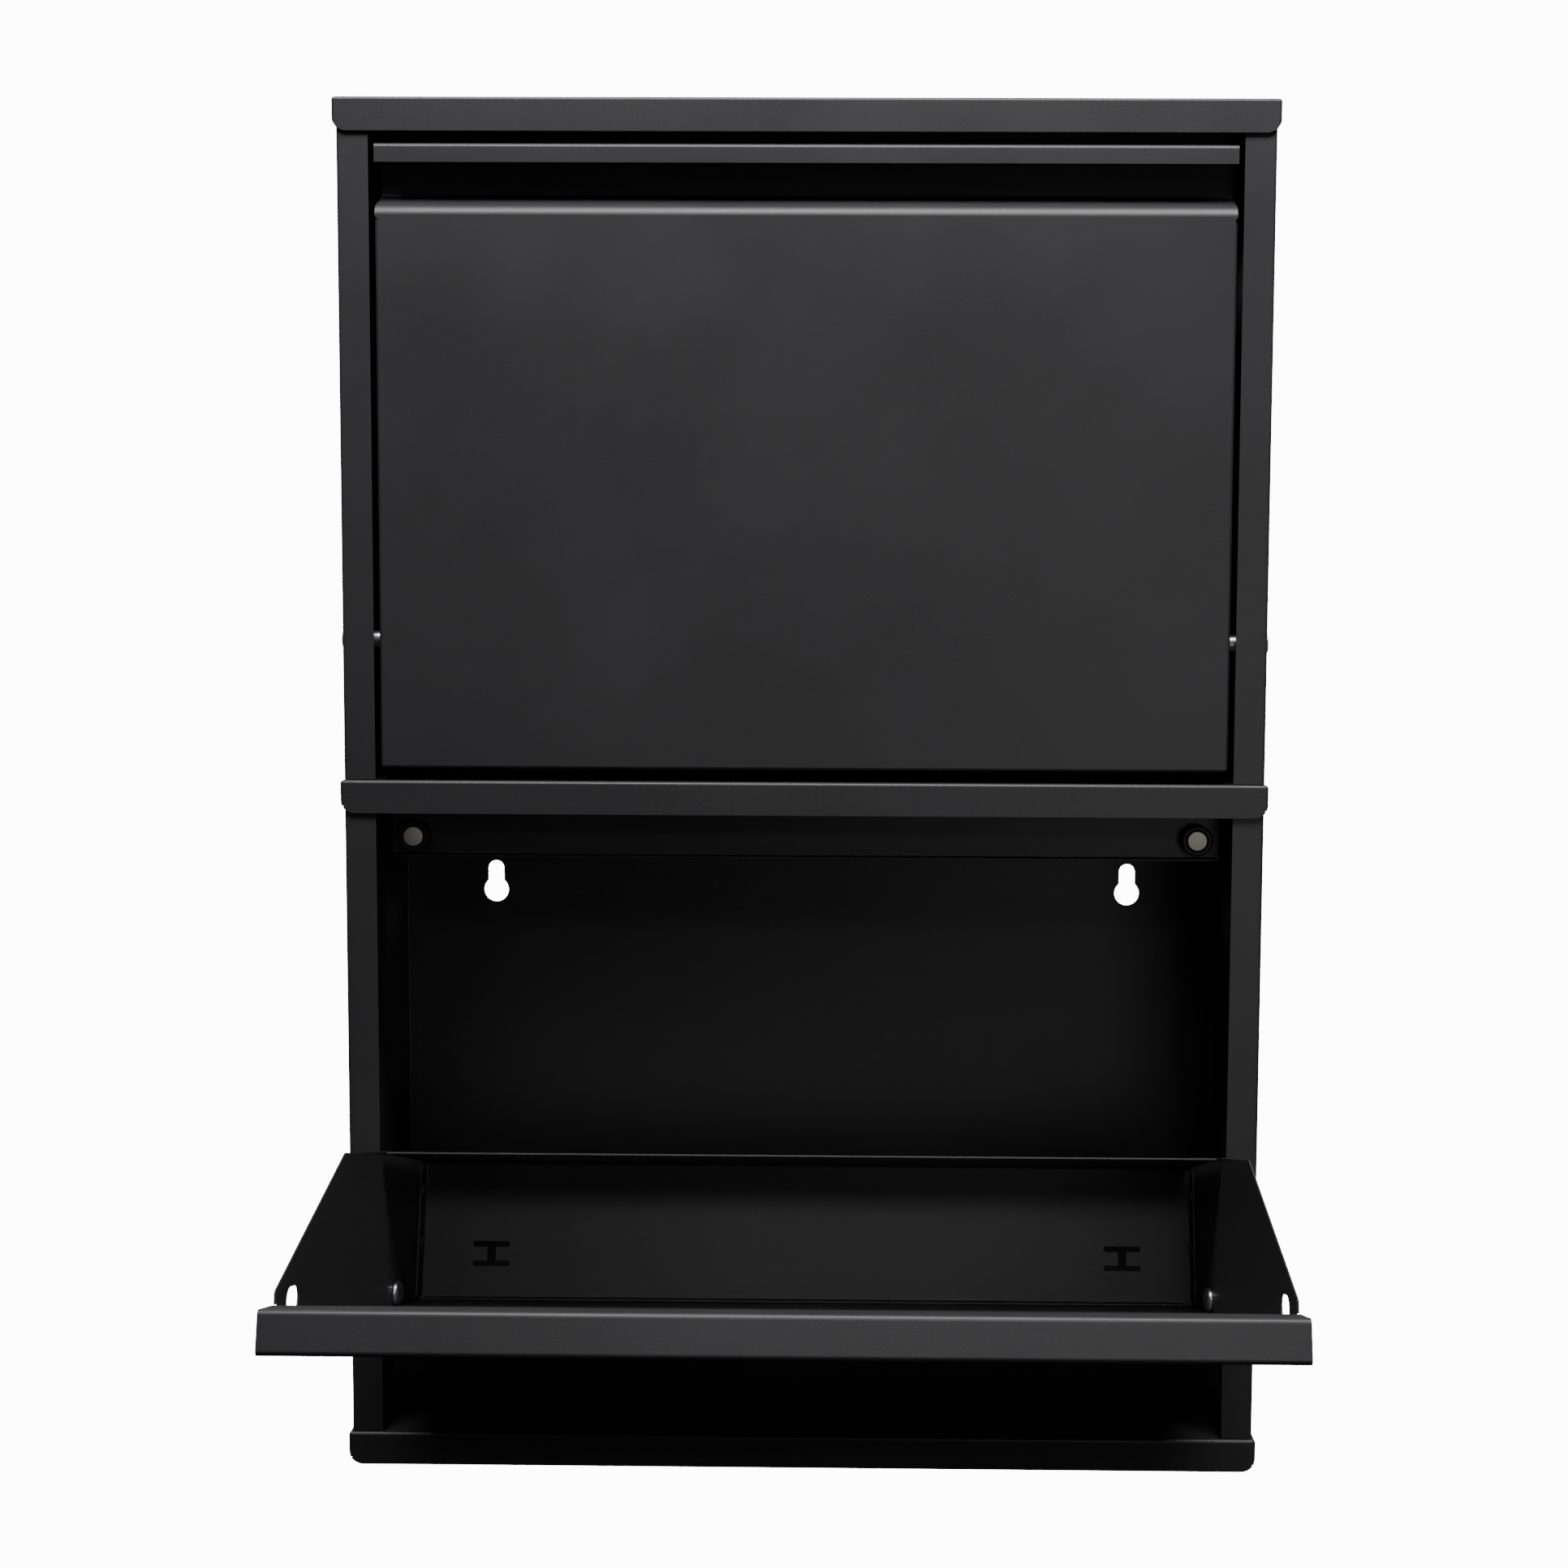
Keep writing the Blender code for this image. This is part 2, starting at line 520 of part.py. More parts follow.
def lanced_slot(name, x, base):
    """Slot of two bars across the tray joined by a stem."""
    bar_half = LANCE_BAR[0] / 2
    outer = LANCE_PITCH / 2 + LANCE_BAR[1] / 2
    inner = LANCE_PITCH / 2 - LANCE_BAR[1] / 2
    stem = LANCE_STEM / 2
    middle, level = from_pivot(LANCE_SETBACK, base)
    half = [(bar_half, outer), (bar_half, inner), (stem, inner), (stem, -inner), (bar_half, -inner),
            (bar_half, -outer)]
    outline = half + [(-u, v) for u, v in reversed(half)]
    placed = [(x + u, middle + v) for u, v in outline]
    return prism(name, placed, "Z", level - OVERRUN, level + SHEET + OVERRUN)


def stop_tab_top():
    """Height above the bin's foot at which the tab's edge meets the stile at the open angle."""
    reach = BIN_DEPTH - PIVOT_SETBACK
    stile_back = SHEET + GAP - PIVOT_SETBACK
    return PIVOT_HEIGHT + (reach * math.cos(OPEN_ANGLE) - stile_back) / math.sin(OPEN_ANGLE)


def make_wing(name, side, pivot):
    """Side plate of the bin, slanted towards the handle, with an outward stop tab."""
    lap = SHEET + GAP
    corners = [(lap, lap, 2 * MM), (BIN_DEPTH, lap, 2 * MM), (BIN_DEPTH, WING_SHOULDER, 6 * MM),
               (RECESS_DEPTH + lap + WING_TOP_DEPTH, WING_TOP, 2 * MM), (RECESS_DEPTH + lap, WING_TOP, 1 * MM),
               (RECESS_DEPTH + lap, WEB_BOTTOM - lap, 0), (lap, FACE_TOP - SOFT_BEND, 0)]
    outline = rounded([(*from_pivot(u, v), radius) for u, v, radius in corners])
    x_low, x_high = sorted((side * WING_INNER, side * WING_OUTER))
    wing = add(prism(name, outline, "X", x_low, x_high), black_coat(name), pivot)
    tab_end = side * (OPENING_HALF + STOP_TAB_LAP)
    tab_x = sorted((side * (WING_INNER + SHEET / 2), tab_end))
    top = stop_tab_top()
    join(wing, block(name + "_stop_tab", (tab_x[0], *from_pivot(BIN_DEPTH - SHEET, top - STOP_TAB_HEIGHT)),
                     (tab_x[1], *from_pivot(BIN_DEPTH, top))))
    x_from, x_to = x_low - OVERRUN, x_high + OVERRUN
    cut(wing, rod(name + "_pivot_hole", (0, 0), PIVOT_RADIUS + GAP, x_from, x_to))
    half_depth, half_height = WING_SLOT_SIZE[0] / 2, WING_SLOT_SIZE[1] / 2
    y, z = from_pivot(WING_SLOT_SETBACK, WING_TOP - WING_SLOT_DROP)
    end = half_depth * 0.999
    slot = rounded([(y - half_depth, z - half_height, end), (y + half_depth, z - half_height, end),
                    (y + half_depth, z + half_height, end), (y - half_depth, z + half_height, end)])
    cut(wing, prism(name + "_slot", slot, "X", x_from, x_to))
    for i, setback in enumerate(RIVET_SETBACKS):
        cut(wing, rod(f"{name}_rivet_hole_{i}", from_pivot(setback, RIVET_HEIGHT),
                      RIVET_RADIUS + GAP, x_from, x_to, "X", FASTENER_STEPS))
    return wing


def make_rivets(prefix, side_name, side, pivot):
    """Rivets that hold a wing to the tray's side flange."""
    inside = TRAY_HALF - SHEET - GAP
    outside = WING_OUTER + GAP
    head_radius, head_height = RIVET_HEAD
    tail_radius, tail_height = RIVET_TAIL
    profile = [(inside - head_height, 0), (inside - head_height, head_radius * 0.4),
               (inside - head_height * 0.7, head_radius * 0.8), (inside, head_radius),
               (inside, RIVET_RADIUS), (outside, RIVET_RADIUS), (outside, tail_radius),
               (outside + tail_height, tail_radius * 0.7), (outside + tail_height, 0)]
    for place, setback in zip(("front", "rear"), RIVET_SETBACKS):
        name = f"{prefix}_{side_name}_{place}_rivet"
        y, z = from_pivot(setback, RIVET_HEIGHT)
        add(turned(name, profile, (0, y, z), (side, 0, 0), FASTENER_STEPS), zinc(name), pivot)


def make_bin(prefix, floor, angle):
    """One bin on an empty that stands on its pivot axis, tilted open by an angle."""
    pivot = bpy.data.objects.new(prefix + "_bin_pivot", None)
    bpy.context.collection.objects.link(pivot)
    pivot.location = (0, FRONT + PIVOT_SETBACK, floor + BIN_FOOT_CLEARANCE + PIVOT_HEIGHT)
    pivot.rotation_euler = (angle, 0, 0)
    make_front_panel(prefix + "_front_panel", pivot)
    make_tray(prefix + "_tray", pivot)
    for side_name, side in (("left", -1), ("right", 1)):
        make_wing(f"{prefix}_{side_name}_wing", side, pivot)
        make_rivets(prefix, side_name, side, pivot)


def make_module(prefix, floor, angle, screws_above):
    """Side panels, back, magnet rail, pivots and bin between one cap and the next."""
    cap_top = floor + MODULE_PITCH
    make_back_panel(prefix + "_back_panel", floor)
    make_rail(prefix + "_magnet_rail", cap_top)
    make_screws(prefix, floor)
    for side_name, side in (("left", -1), ("right", 1)):
        make_side_panel(f"{prefix}_{side_name}_side_panel", floor, side, screws_above)
        make_magnet(prefix, side_name, side, cap_top)
        make_pivot(prefix, side_name, side, floor)
    make_bin(prefix, floor, angle)


def main():
    for obj in list(bpy.data.objects):
        bpy.data.objects.remove(obj, do_unlink=True)
    for name, top, has_screws in zip(("base_cap", "middle_cap", "top_cap"), CAP_LEVELS, (True, True, False)):
        make_cap(name, top, has_screws)
    make_module("lower", CAP_LEVELS[0], OPEN_ANGLE, True)
    make_module("upper", CAP_LEVELS[1], 0.0, False)


main()
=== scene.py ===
"""Looks of a slim wall cabinet with two tilt-out bins, laid out as an add-on and run as a script.

Every folded piece is made as a sheet-metal worker makes it: flat faces joined along fold lines,
each fold rounded to its bend radius, then given the sheet's thickness, punched and deburred.
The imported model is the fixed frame: all places come from its nodes' boxes and its joints.
"""
import json
import math

import bmesh
import bpy
from bpy.props import FloatProperty, FloatVectorProperty, IntProperty, PointerProperty
from mathutils import Matrix, Vector


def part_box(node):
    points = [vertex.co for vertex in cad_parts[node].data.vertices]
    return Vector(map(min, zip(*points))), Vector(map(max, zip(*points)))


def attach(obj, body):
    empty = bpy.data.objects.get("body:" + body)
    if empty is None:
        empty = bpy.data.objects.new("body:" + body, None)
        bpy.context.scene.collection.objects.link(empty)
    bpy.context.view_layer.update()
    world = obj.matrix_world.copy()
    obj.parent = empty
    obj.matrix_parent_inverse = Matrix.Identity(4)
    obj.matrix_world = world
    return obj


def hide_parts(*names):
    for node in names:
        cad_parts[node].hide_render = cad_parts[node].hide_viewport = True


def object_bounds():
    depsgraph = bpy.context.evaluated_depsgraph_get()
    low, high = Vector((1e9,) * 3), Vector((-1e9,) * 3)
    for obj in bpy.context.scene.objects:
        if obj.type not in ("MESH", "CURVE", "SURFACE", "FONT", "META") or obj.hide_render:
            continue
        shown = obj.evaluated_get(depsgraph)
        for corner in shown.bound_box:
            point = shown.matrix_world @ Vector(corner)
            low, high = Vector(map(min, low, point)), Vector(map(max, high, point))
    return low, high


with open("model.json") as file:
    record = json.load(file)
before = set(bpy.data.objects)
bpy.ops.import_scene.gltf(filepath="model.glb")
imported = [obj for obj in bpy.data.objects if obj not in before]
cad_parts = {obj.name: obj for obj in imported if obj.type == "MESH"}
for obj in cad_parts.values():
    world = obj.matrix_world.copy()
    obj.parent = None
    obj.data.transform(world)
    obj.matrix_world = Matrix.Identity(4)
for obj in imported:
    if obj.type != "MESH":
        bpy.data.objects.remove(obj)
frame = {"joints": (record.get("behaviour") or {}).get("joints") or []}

bl_info = {
    "name": "Tilt-out wall cabinet",
    "version": (1, 0, 0),
    "blender": (4, 5, 0),
    "location": "3D View > Sidebar > Cabinet",
    "description": "Builds the visible pieces of a two-bin sheet-steel wall cabinet",
    "category": "Add Mesh",
}

CAD_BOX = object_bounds()
MM = 0.001
X_AXIS, Y_AXIS, Z_AXIS = Vector((1, 0, 0)), Vector((0, 1, 0)), Vector((0, 0, 1))
MARGIN = 2 * MM        # how far a cutter runs past what it cuts
MODULES = ("lower", "upper")
SIDES = (("left", -1), ("right", 1))
JOINTS = {joint["child"]: joint for joint in frame["joints"]}


def length(name, millimetres, description):
    """Length property whose default is given in millimetres."""
    return FloatProperty(name=name, description=description, default=millimetres * MM, min=0.0,
                         unit="LENGTH", precision=5)


def colour(name, value, description):
    return FloatVectorProperty(name=name, description=description, default=value, size=3, min=0.0,
                               max=1.0, subtype="COLOR")


def factor(name, value, description, top=1.0):
    return FloatProperty(name=name, description=description, default=value, min=0.0, max=top)


def angle(name, degrees, description):
    """Angle property whose default is given in degrees."""
    return FloatProperty(name=name, description=description, default=math.radians(degrees),
                         subtype="ANGLE")


def power(name, watts, description):
    return FloatProperty(name=name, description=description, default=watts, min=0.0, subtype="POWER")


# ---- sizes and colours -------------------------------------------------------------------

class SheetSizes(bpy.types.PropertyGroup):
    """Stock and folding of every sheet piece."""

    thickness: length("Thickness", 0.9, "Sheet steel with its coat")
    bend: length("Tight bend", 1.9, "Outer radius of the sharp folds")
    hem: length("Edge rounding", 0.18, "Radius left on cut edges by deburring and the coat")
    steps: IntProperty(name="Bend facets", description="Facets across a fold", default=7, min=2)
    gap: length("Gap", 0.3, "Room between pieces that touch")


class BinSizes(bpy.types.PropertyGroup):
    """Folds and punched holes of a bin."""

    face_top: length("Face height", 297.5, "Foot of the bin to the face's soft upper bend")
    soft_bend: length("Soft bend", 6.9, "Outer radius of the face's upper bend")
    recess: length("Recess depth", 19, "Finger recess, face to web")
    slope_rise: length("Slope rise", 9, "Height gained behind the face")
    lip: length("Handle lip", 10.4, "Height of the lip in front of the handle flange")
    handle_bend: length("Handle bend", 2.6, "Outer radius of the handle's two front bends")
    face_return: length("Face returns", 6, "Depth of the face's side and bottom returns")
    tray_front: length("Tray front flange", 10, "Height of the tray's front flange")
    tray_side: length("Tray side flange", 14, "Height of the tray's side flanges")
    tray_lean: length("Tray lean", 6, "How far the tray's rear wall leans back over its height")
    shoulder: length("Wing shoulder", 194.5, "Height where the wing starts to slant")
    lance_span: length("Lance half span", 184.7, "Middle of the bin to each lanced slot")
    lance_setback: length("Lance setback", 27, "Face to the middle of a lanced slot")
    lance_bar: length("Lance bar", 21, "Length of a lanced slot's bars")
    lance_width: length("Lance width", 3, "Width of a lanced slot's bars")
    lance_pitch: length("Lance pitch", 11, "Distance between the two bars")
    lance_stem: length("Lance stem", 4.6, "Width of the stem between the bars")
    slot_depth: length("Wing slot depth", 12, "Width of the oblong hole in a wing")
    slot_height: length("Wing slot height", 20, "Height of the oblong hole in a wing")
    slot_setback: length("Wing slot setback", 20.5, "Face to the middle of the oblong hole")
    slot_level: length("Wing slot level", 281, "Bin's foot to the middle of the oblong hole")
    wing_tip: length("Wing tip", 6, "Width of a wing's upper end")
    tab_height: length("Stop tab height", 16, "Height of a wing's stop tab")
    wing_hole: length("Wing pivot hole", 4.3, "Radius of a wing's pivot hole")
    notch: length("Pivot notch", 6, "Radius cut from the face's side returns round a pivot")
    relief: length("Corner relief", 0.6, "Room between a tray's folds at a corner")


class CabinetSizes(bpy.types.PropertyGroup):
    """Folds and holes of the fixed cabinet."""

    cap_corner: length("Cap corner", 8, "Rounding of a cap skirt's free corners")
    side_skirt: length("Side skirt rise", 4, "How much shorter a cap's side skirts are")
    flange: length("Inner flanges", 9, "Top, bottom and rear flanges of a side panel")
    relief: length("Corner relief", 0.8, "Room between a side panel's folds at a corner")
    keyhole_span: length("Keyhole half span", 192.6, "Middle of the cabinet to each keyhole")
    keyhole_seat: length("Keyhole seat", 296, "Module floor to a keyhole's screw seat")
    keyhole_drop: length("Keyhole drop", 13, "Screw seat to the middle of the large hole")
    keyhole_slot: length("Keyhole slot", 4.8, "Radius of a keyhole's slot")
    keyhole_head: length("Keyhole head", 7.4, "Radius of a keyhole's large hole")
    rail_lip: length("Rail lip", 5, "Depth of a rail's lower flange")
    rail_hole: length("Rail hole", 4, "Radius of the hole for a magnet cup's peg")
    cup_peg: length("Cup peg", 3.7, "Radius of a magnet cup's peg")
    journal: length("Pivot journal", 4, "Radius that a wing turns on")
    spacer: length("Pivot spacer", 5, "Radius of the shoulder beside a wing")
    button: length("Pivot button", 6, "Radius of a pivot's riveted end")
    journal_hole: length("Pivot hole", 4.2, "Radius of a side panel's pivot hole")
    screw_hole: length("Screw hole", 2.3, "Radius of a screw's hole")
    screw_head: length("Screw head", 3.4, "Radius of a pan head")
    screw_rise: length("Screw head height", 2.4, "Height of a pan head")
    rivet_hole: length("Rivet hole", 2.1, "Radius of a rivet's hole")
    rivet_head: length("Rivet head", 3.8, "Radius of a rivet's dome")
    rivet_rise: length("Rivet head height", 1.5, "Height of a rivet's dome")
    weld_mark: length("Weld mark", 2.3, "Radius of a spot weld's mark")


class Finishes(bpy.types.PropertyGroup):
    """Colours and gloss of the materials."""

    coat: colour("Coat", (0.021, 0.020, 0.022), "Black powder coat")
    coat_pale: colour("Coat, pale grain", (0.034, 0.033, 0.036), "Paler grains of the coat")
    coat_roughness: factor("Coat roughness", 0.46, "Satin finish of the coat")
    grain: factor("Grain depth", 0.10, "Height of the coat's fine texture")
    zinc: colour("Zinc", (0.46, 0.47, 0.49), "Plated pivots and screws")
    nickel: colour("Nickel", (0.92, 0.86, 0.76), "Plated magnets")
    plastic: colour("Plastic", (0.012, 0.012, 0.013), "Magnet cups")
    floor: colour("Floor", (0.92, 0.92, 0.92), "Studio floor and sweep")
    floor_glow: factor("Floor glow", 12.0, "Light that the floor and sweep give out", 50.0)


class Studio(bpy.types.PropertyGroup):
    """Camera and lights."""

    camera_at: FloatVectorProperty(name="Camera", description="Camera position", size=3,
                                   default=(0.0376, -1.287, -0.2085), subtype="XYZ", unit="LENGTH")
    yaw: angle("Yaw", -0.65, "Camera turn about the vertical")
    pitch: angle("Pitch", -4.43, "Camera tilt above the horizon")
    roll: angle("Roll", 0.29, "Camera turn about its own axis")
    lens: FloatProperty(name="Lens", description="Focal length on a 36 mm sensor, in millimetres",
                        default=48.65, min=10)
    shift: FloatProperty(name="Shift", description="Sideways shift of the view, in widths",
                         default=-0.0416)
    key_power: power("Key light", 46, "Light above the front, in watts")
    fill_power: power("Fill light", 0.21, "Low narrow light in front, in watts")
    fill_spread: angle("Fill spread", 30, "Angle of the low light's beam")
    card_power: power("Side card", 1.3, "Dim card at the front right, in watts")
    rim_power: power("Rim lights", 14, "Each light behind, in watts")
    sky: factor("Surround", 0.12, "Strength of the soft surround on the object", 10.0)
    backdrop: factor("Backdrop", 12.0, "Strength of the pale surround that the camera sees", 20.0)


# ---- folded sheet ------------------------------------------------------------------------

def settings():
    scene = bpy.context.scene
    return scene.cabinet_sheet, scene.cabinet_bin, scene.cabinet_case


def link(name, mesh):
    piece = bpy.data.objects.new(name, mesh)
    bpy.context.collection.objects.link(piece)
    return piece


def link_bm(name, bm, place=None):
    """Object made from a bmesh, which is freed."""
    if place:
        bmesh.ops.transform(bm, matrix=place, verts=bm.verts)
    mesh = bpy.data.meshes.new(name)
    bm.to_mesh(mesh)
    bm.free()
    return link(name, mesh)


def thicken(piece, even_folds=False):
    """Give a shell the sheet's thickness on its inner side."""
    solidify = piece.modifiers.new("Thickness", "SOLIDIFY")
    solidify.thickness = bpy.context.scene.cabinet_sheet.thickness
    solidify.offset = -1
    solidify.use_even_offset = True
    solidify.use_quality_normals = even_folds
    return settle(piece)


def settle(piece):
    """Turn a piece's live modifiers into plain mesh."""
    evaluated = piece.evaluated_get(bpy.context.evaluated_depsgraph_get())
    mesh = bpy.data.meshes.new_from_object(evaluated)
    piece.modifiers.clear()
    old = piece.data
    piece.data = mesh
    bpy.data.meshes.remove(old)
    mesh.name = piece.name
    return piece


def round_folds(bm, radius_of, steps):
    """Round every fold of a shell of flat faces to the outer radius that radius_of gives."""
    groups = {}
    for edge in bm.edges:
        if len(edge.link_faces) != 2:
            continue
        turn = edge.calc_face_angle()
        if turn < math.radians(2):
            continue
        middle = (edge.verts[0].co + edge.verts[1].co) / 2
        reach = radius_of(middle) * math.tan(turn / 2)
        groups.setdefault(round(reach, 6), []).append(edge)
    for reach in sorted(groups, reverse=True):
        edges = [edge for edge in groups[reach] if edge.is_valid]
        bmesh.ops.bevel(bm, geom=edges, offset=reach, offset_type="OFFSET", segments=steps,
                        profile=0.5, affect="EDGES", clamp_overlap=False)


def folded(name, faces, radius_of, place=None):
    """Sheet folded along the edges that the flat faces share.

    Each face lists its corners on the sheet's outer side, anticlockwise seen from outside.
    """
    bm = bmesh.new()
    for corners in faces:
        bm.faces.new([bm.verts.new(corner) for corner in corners])
    bmesh.ops.remove_doubles(bm, verts=bm.verts, dist=1e-6)
    bm.normal_update()
    round_folds(bm, radius_of, bpy.context.scene.cabinet_sheet.steps)
    return thicken(link_bm(name, bm, place), even_folds=True)


def punch(piece, *cutters):
    """Cut the cutters out of a piece and remove them."""
    for cutter in cutters:
        boolean = piece.modifiers.new(cutter.name, "BOOLEAN")
        boolean.operation = "DIFFERENCE"
        boolean.object = cutter
        boolean.solver = "EXACT"
    settle(piece)
    for cutter in cutters:
        bpy.data.objects.remove(cutter, do_unlink=True)
    return piece


def deburr(piece):
    """Round the cut edges slightly and let the flats govern the shading."""
    bevel = piece.modifiers.new("Deburr", "BEVEL")
    bevel.width = bpy.context.scene.cabinet_sheet.hem
    bevel.segments = 2
    bevel.limit_method = "ANGLE"
    bevel.angle_limit = math.radians(40)
    bevel.use_clamp_overlap = False
    settle(piece)
    piece.data.shade_smooth()
    weigh = piece.modifiers.new("Weigh", "WEIGHTED_NORMAL")
    weigh.mode = "FACE_AREA"
    weigh.weight = 80
    return settle(piece)


# ---- outlines and cutters ----------------------------------------------------------------

def fillet(before, corner, after, radius, steps):
    """Arc that rounds one corner of a flat outline."""
    before, corner, after = Vector(before), Vector(corner), Vector(after)
    to_before, to_after = (before - corner).normalized(), (after - corner).normalized()
    half = to_before.angle(to_after) / 2
    centre = corner + (to_before + to_after).normalized() * radius / math.sin(half)
    first = corner + to_before * radius / math.tan(half) - centre
    last = corner + to_after * radius / math.tan(half) - centre
    sweep = first.angle(last)
    if sweep < 1e-4:
        return [tuple(corner)]
    points = []
    for i in range(steps + 1):
        t = i / steps
        point = first * math.sin((1 - t) * sweep) + last * math.sin(t * sweep)
        points.append(tuple(centre + point / math.sin(sweep)))
    return points


def rounded(corners, steps=10):
    """Closed outline from (u, v, radius) corners."""
    outline = []
    for i, (u, v, radius) in enumerate(corners):
        if radius:
            after = corners[(i + 1) % len(corners)][:2]
            outline += fillet(corners[i - 1][:2], (u, v), after, radius, steps)
        else:
            outline.append((u, v))
    return outline


def disc(centre, radius, steps=40):
    """Round outline."""
    turn = 2 * math.pi / steps
    return [(centre[0] + radius * math.cos(i * turn), centre[1] + radius * math.sin(i * turn))
            for i in range(steps)]


PLANES = {
    "X": lambda u, v, depth: (depth, u, v),
    "Y": lambda u, v, depth: (u, depth, v),
    "Z": lambda u, v, depth: (u, v, depth),
}


def prism(name, outline, axis, low, high, place=None):
    """Outline drawn square to an axis and extruded along it."""
    bm = bmesh.new()
    base = bm.faces.new([bm.verts.new(PLANES[axis](u, v, low)) for u, v in outline])
    grown = bmesh.ops.extrude_face_region(bm, geom=[base])["geom"]
    shift = Vector(PLANES[axis](0, 0, high - low))
    bmesh.ops.translate(bm, vec=shift, verts=[v for v in grown if isinstance(v, bmesh.types.BMVert)])
    bmesh.ops.recalc_face_normals(bm, faces=bm.faces)
    return link_bm(name, bm, place)


def through(node, axis):
    """Lowest and highest place along an axis that a cutter through a node runs between."""
    low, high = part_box(node)
    index = "XYZ".index(axis)
    return low[index] - MARGIN, high[index] + MARGIN


def centre_of(node):
    low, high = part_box(node)
    return (low + high) / 2


def turned(name, profile, place, steps=48):
    """Profile of (along, radius) points turned about the local Z axis."""
    bm = bmesh.new()
    verts = [bm.verts.new((radius, 0, along)) for along, radius in profile]
    edges = [bm.edges.new(pair) for pair in zip(verts, verts[1:])]
    bmesh.ops.spin(bm, geom=verts + edges, axis=(0, 0, 1), cent=(0, 0, 0), steps=steps,
                   angle=2 * math.pi)
    bmesh.ops.remove_doubles(bm, verts=bm.verts, dist=1e-7)
    bmesh.ops.recalc_face_normals(bm, faces=bm.faces)
    piece = link_bm(name, bm, place)
    piece.data.shade_smooth()
    piece.data.set_sharp_from_angle(angle=math.radians(28))
    return piece


def facing(axis, origin):
    """Placement whose local Z runs along an axis from an origin."""
    return Matrix.Translation(origin) @ axis.to_track_quat("Z", "Y").to_matrix().to_4x4()


def soften(profile, radius=0.25 * MM):
    """Turning profile with its corners rounded."""
    points = [profile[0]]
    for before, corner, after in zip(profile, profile[1:], profile[2:]):
        room = min((Vector(corner) - Vector(before)).length, (Vector(after) - Vector(corner)).length)
        points += fillet(before, corner, after, min(radius, room * 0.4), 4)
    return points + [profile[-1]]


# ---- where a bin hangs -------------------------------------------------------------------

class Hang:
    """Places on a bin, given behind its face and above its foot while it is shut."""

    def __init__(self, module):
        self.body = module + "_bin"
        joint = JOINTS[self.body]
        self.pivot = Vector(joint["pos_m"])
        closed = joint["range_deg"][0] if module == "lower" else 0.0
        self.turn = Matrix.Rotation(math.radians(-closed), 4, "X")
        self.place = Matrix.Translation(self.pivot) @ self.turn
        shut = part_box("upper_front_panel")
        upper_pivot = Vector(JOINTS["upper_bin"]["pos_m"])
        self.foot = shut[0].z - upper_pivot.z
        self.face = shut[0].y - upper_pivot.y
        self.height = shut[1].z - shut[0].z
        self.half = shut[1].x

    def at(self, setback, level):
        """(y, z) about the pivot of the shut bin."""
        return self.face + setback, self.foot + level


# ---- materials ---------------------------------------------------------------------------

class Tree:
    """Small helper for laying out nodes."""

    def __init__(self, tree):
        self.tree = tree

    def add(self, kind, **inputs):
        """Node with its settings and input values; an underscore stands for a socket's space."""
        node = self.tree.nodes.new(kind)
        for key, value in inputs.items():
            if hasattr(node, key):
                setattr(node, key, value)
            else:
                node.inputs[key.replace("_", " ")].default_value = value
        return node

    def join(self, source, target):
        self.tree.links.new(source, target)

    def maths(self, operation, *values):
        """Result of a Math node; each value is a number or a socket."""
        node = self.add("ShaderNodeMath", operation=operation)
        for socket, value in zip(node.inputs, values):
            if isinstance(value, (int, float)):
                socket.default_value = value
            else:
                self.join(value, socket)
        return node.outputs["Value"]

    def vector(self, **parts):
        """Vector from sockets, by axis."""
        node = self.add("ShaderNodeCombineXYZ")
        for axis, source in parts.items():
            self.join(source, node.inputs[axis])
        return node.outputs["Vector"]


def add_socket(tree, name, kind, out=False):
    tree.interface.new_socket(name=name, in_out="OUTPUT" if out else "INPUT",
                              socket_type="NodeSocket" + kind)


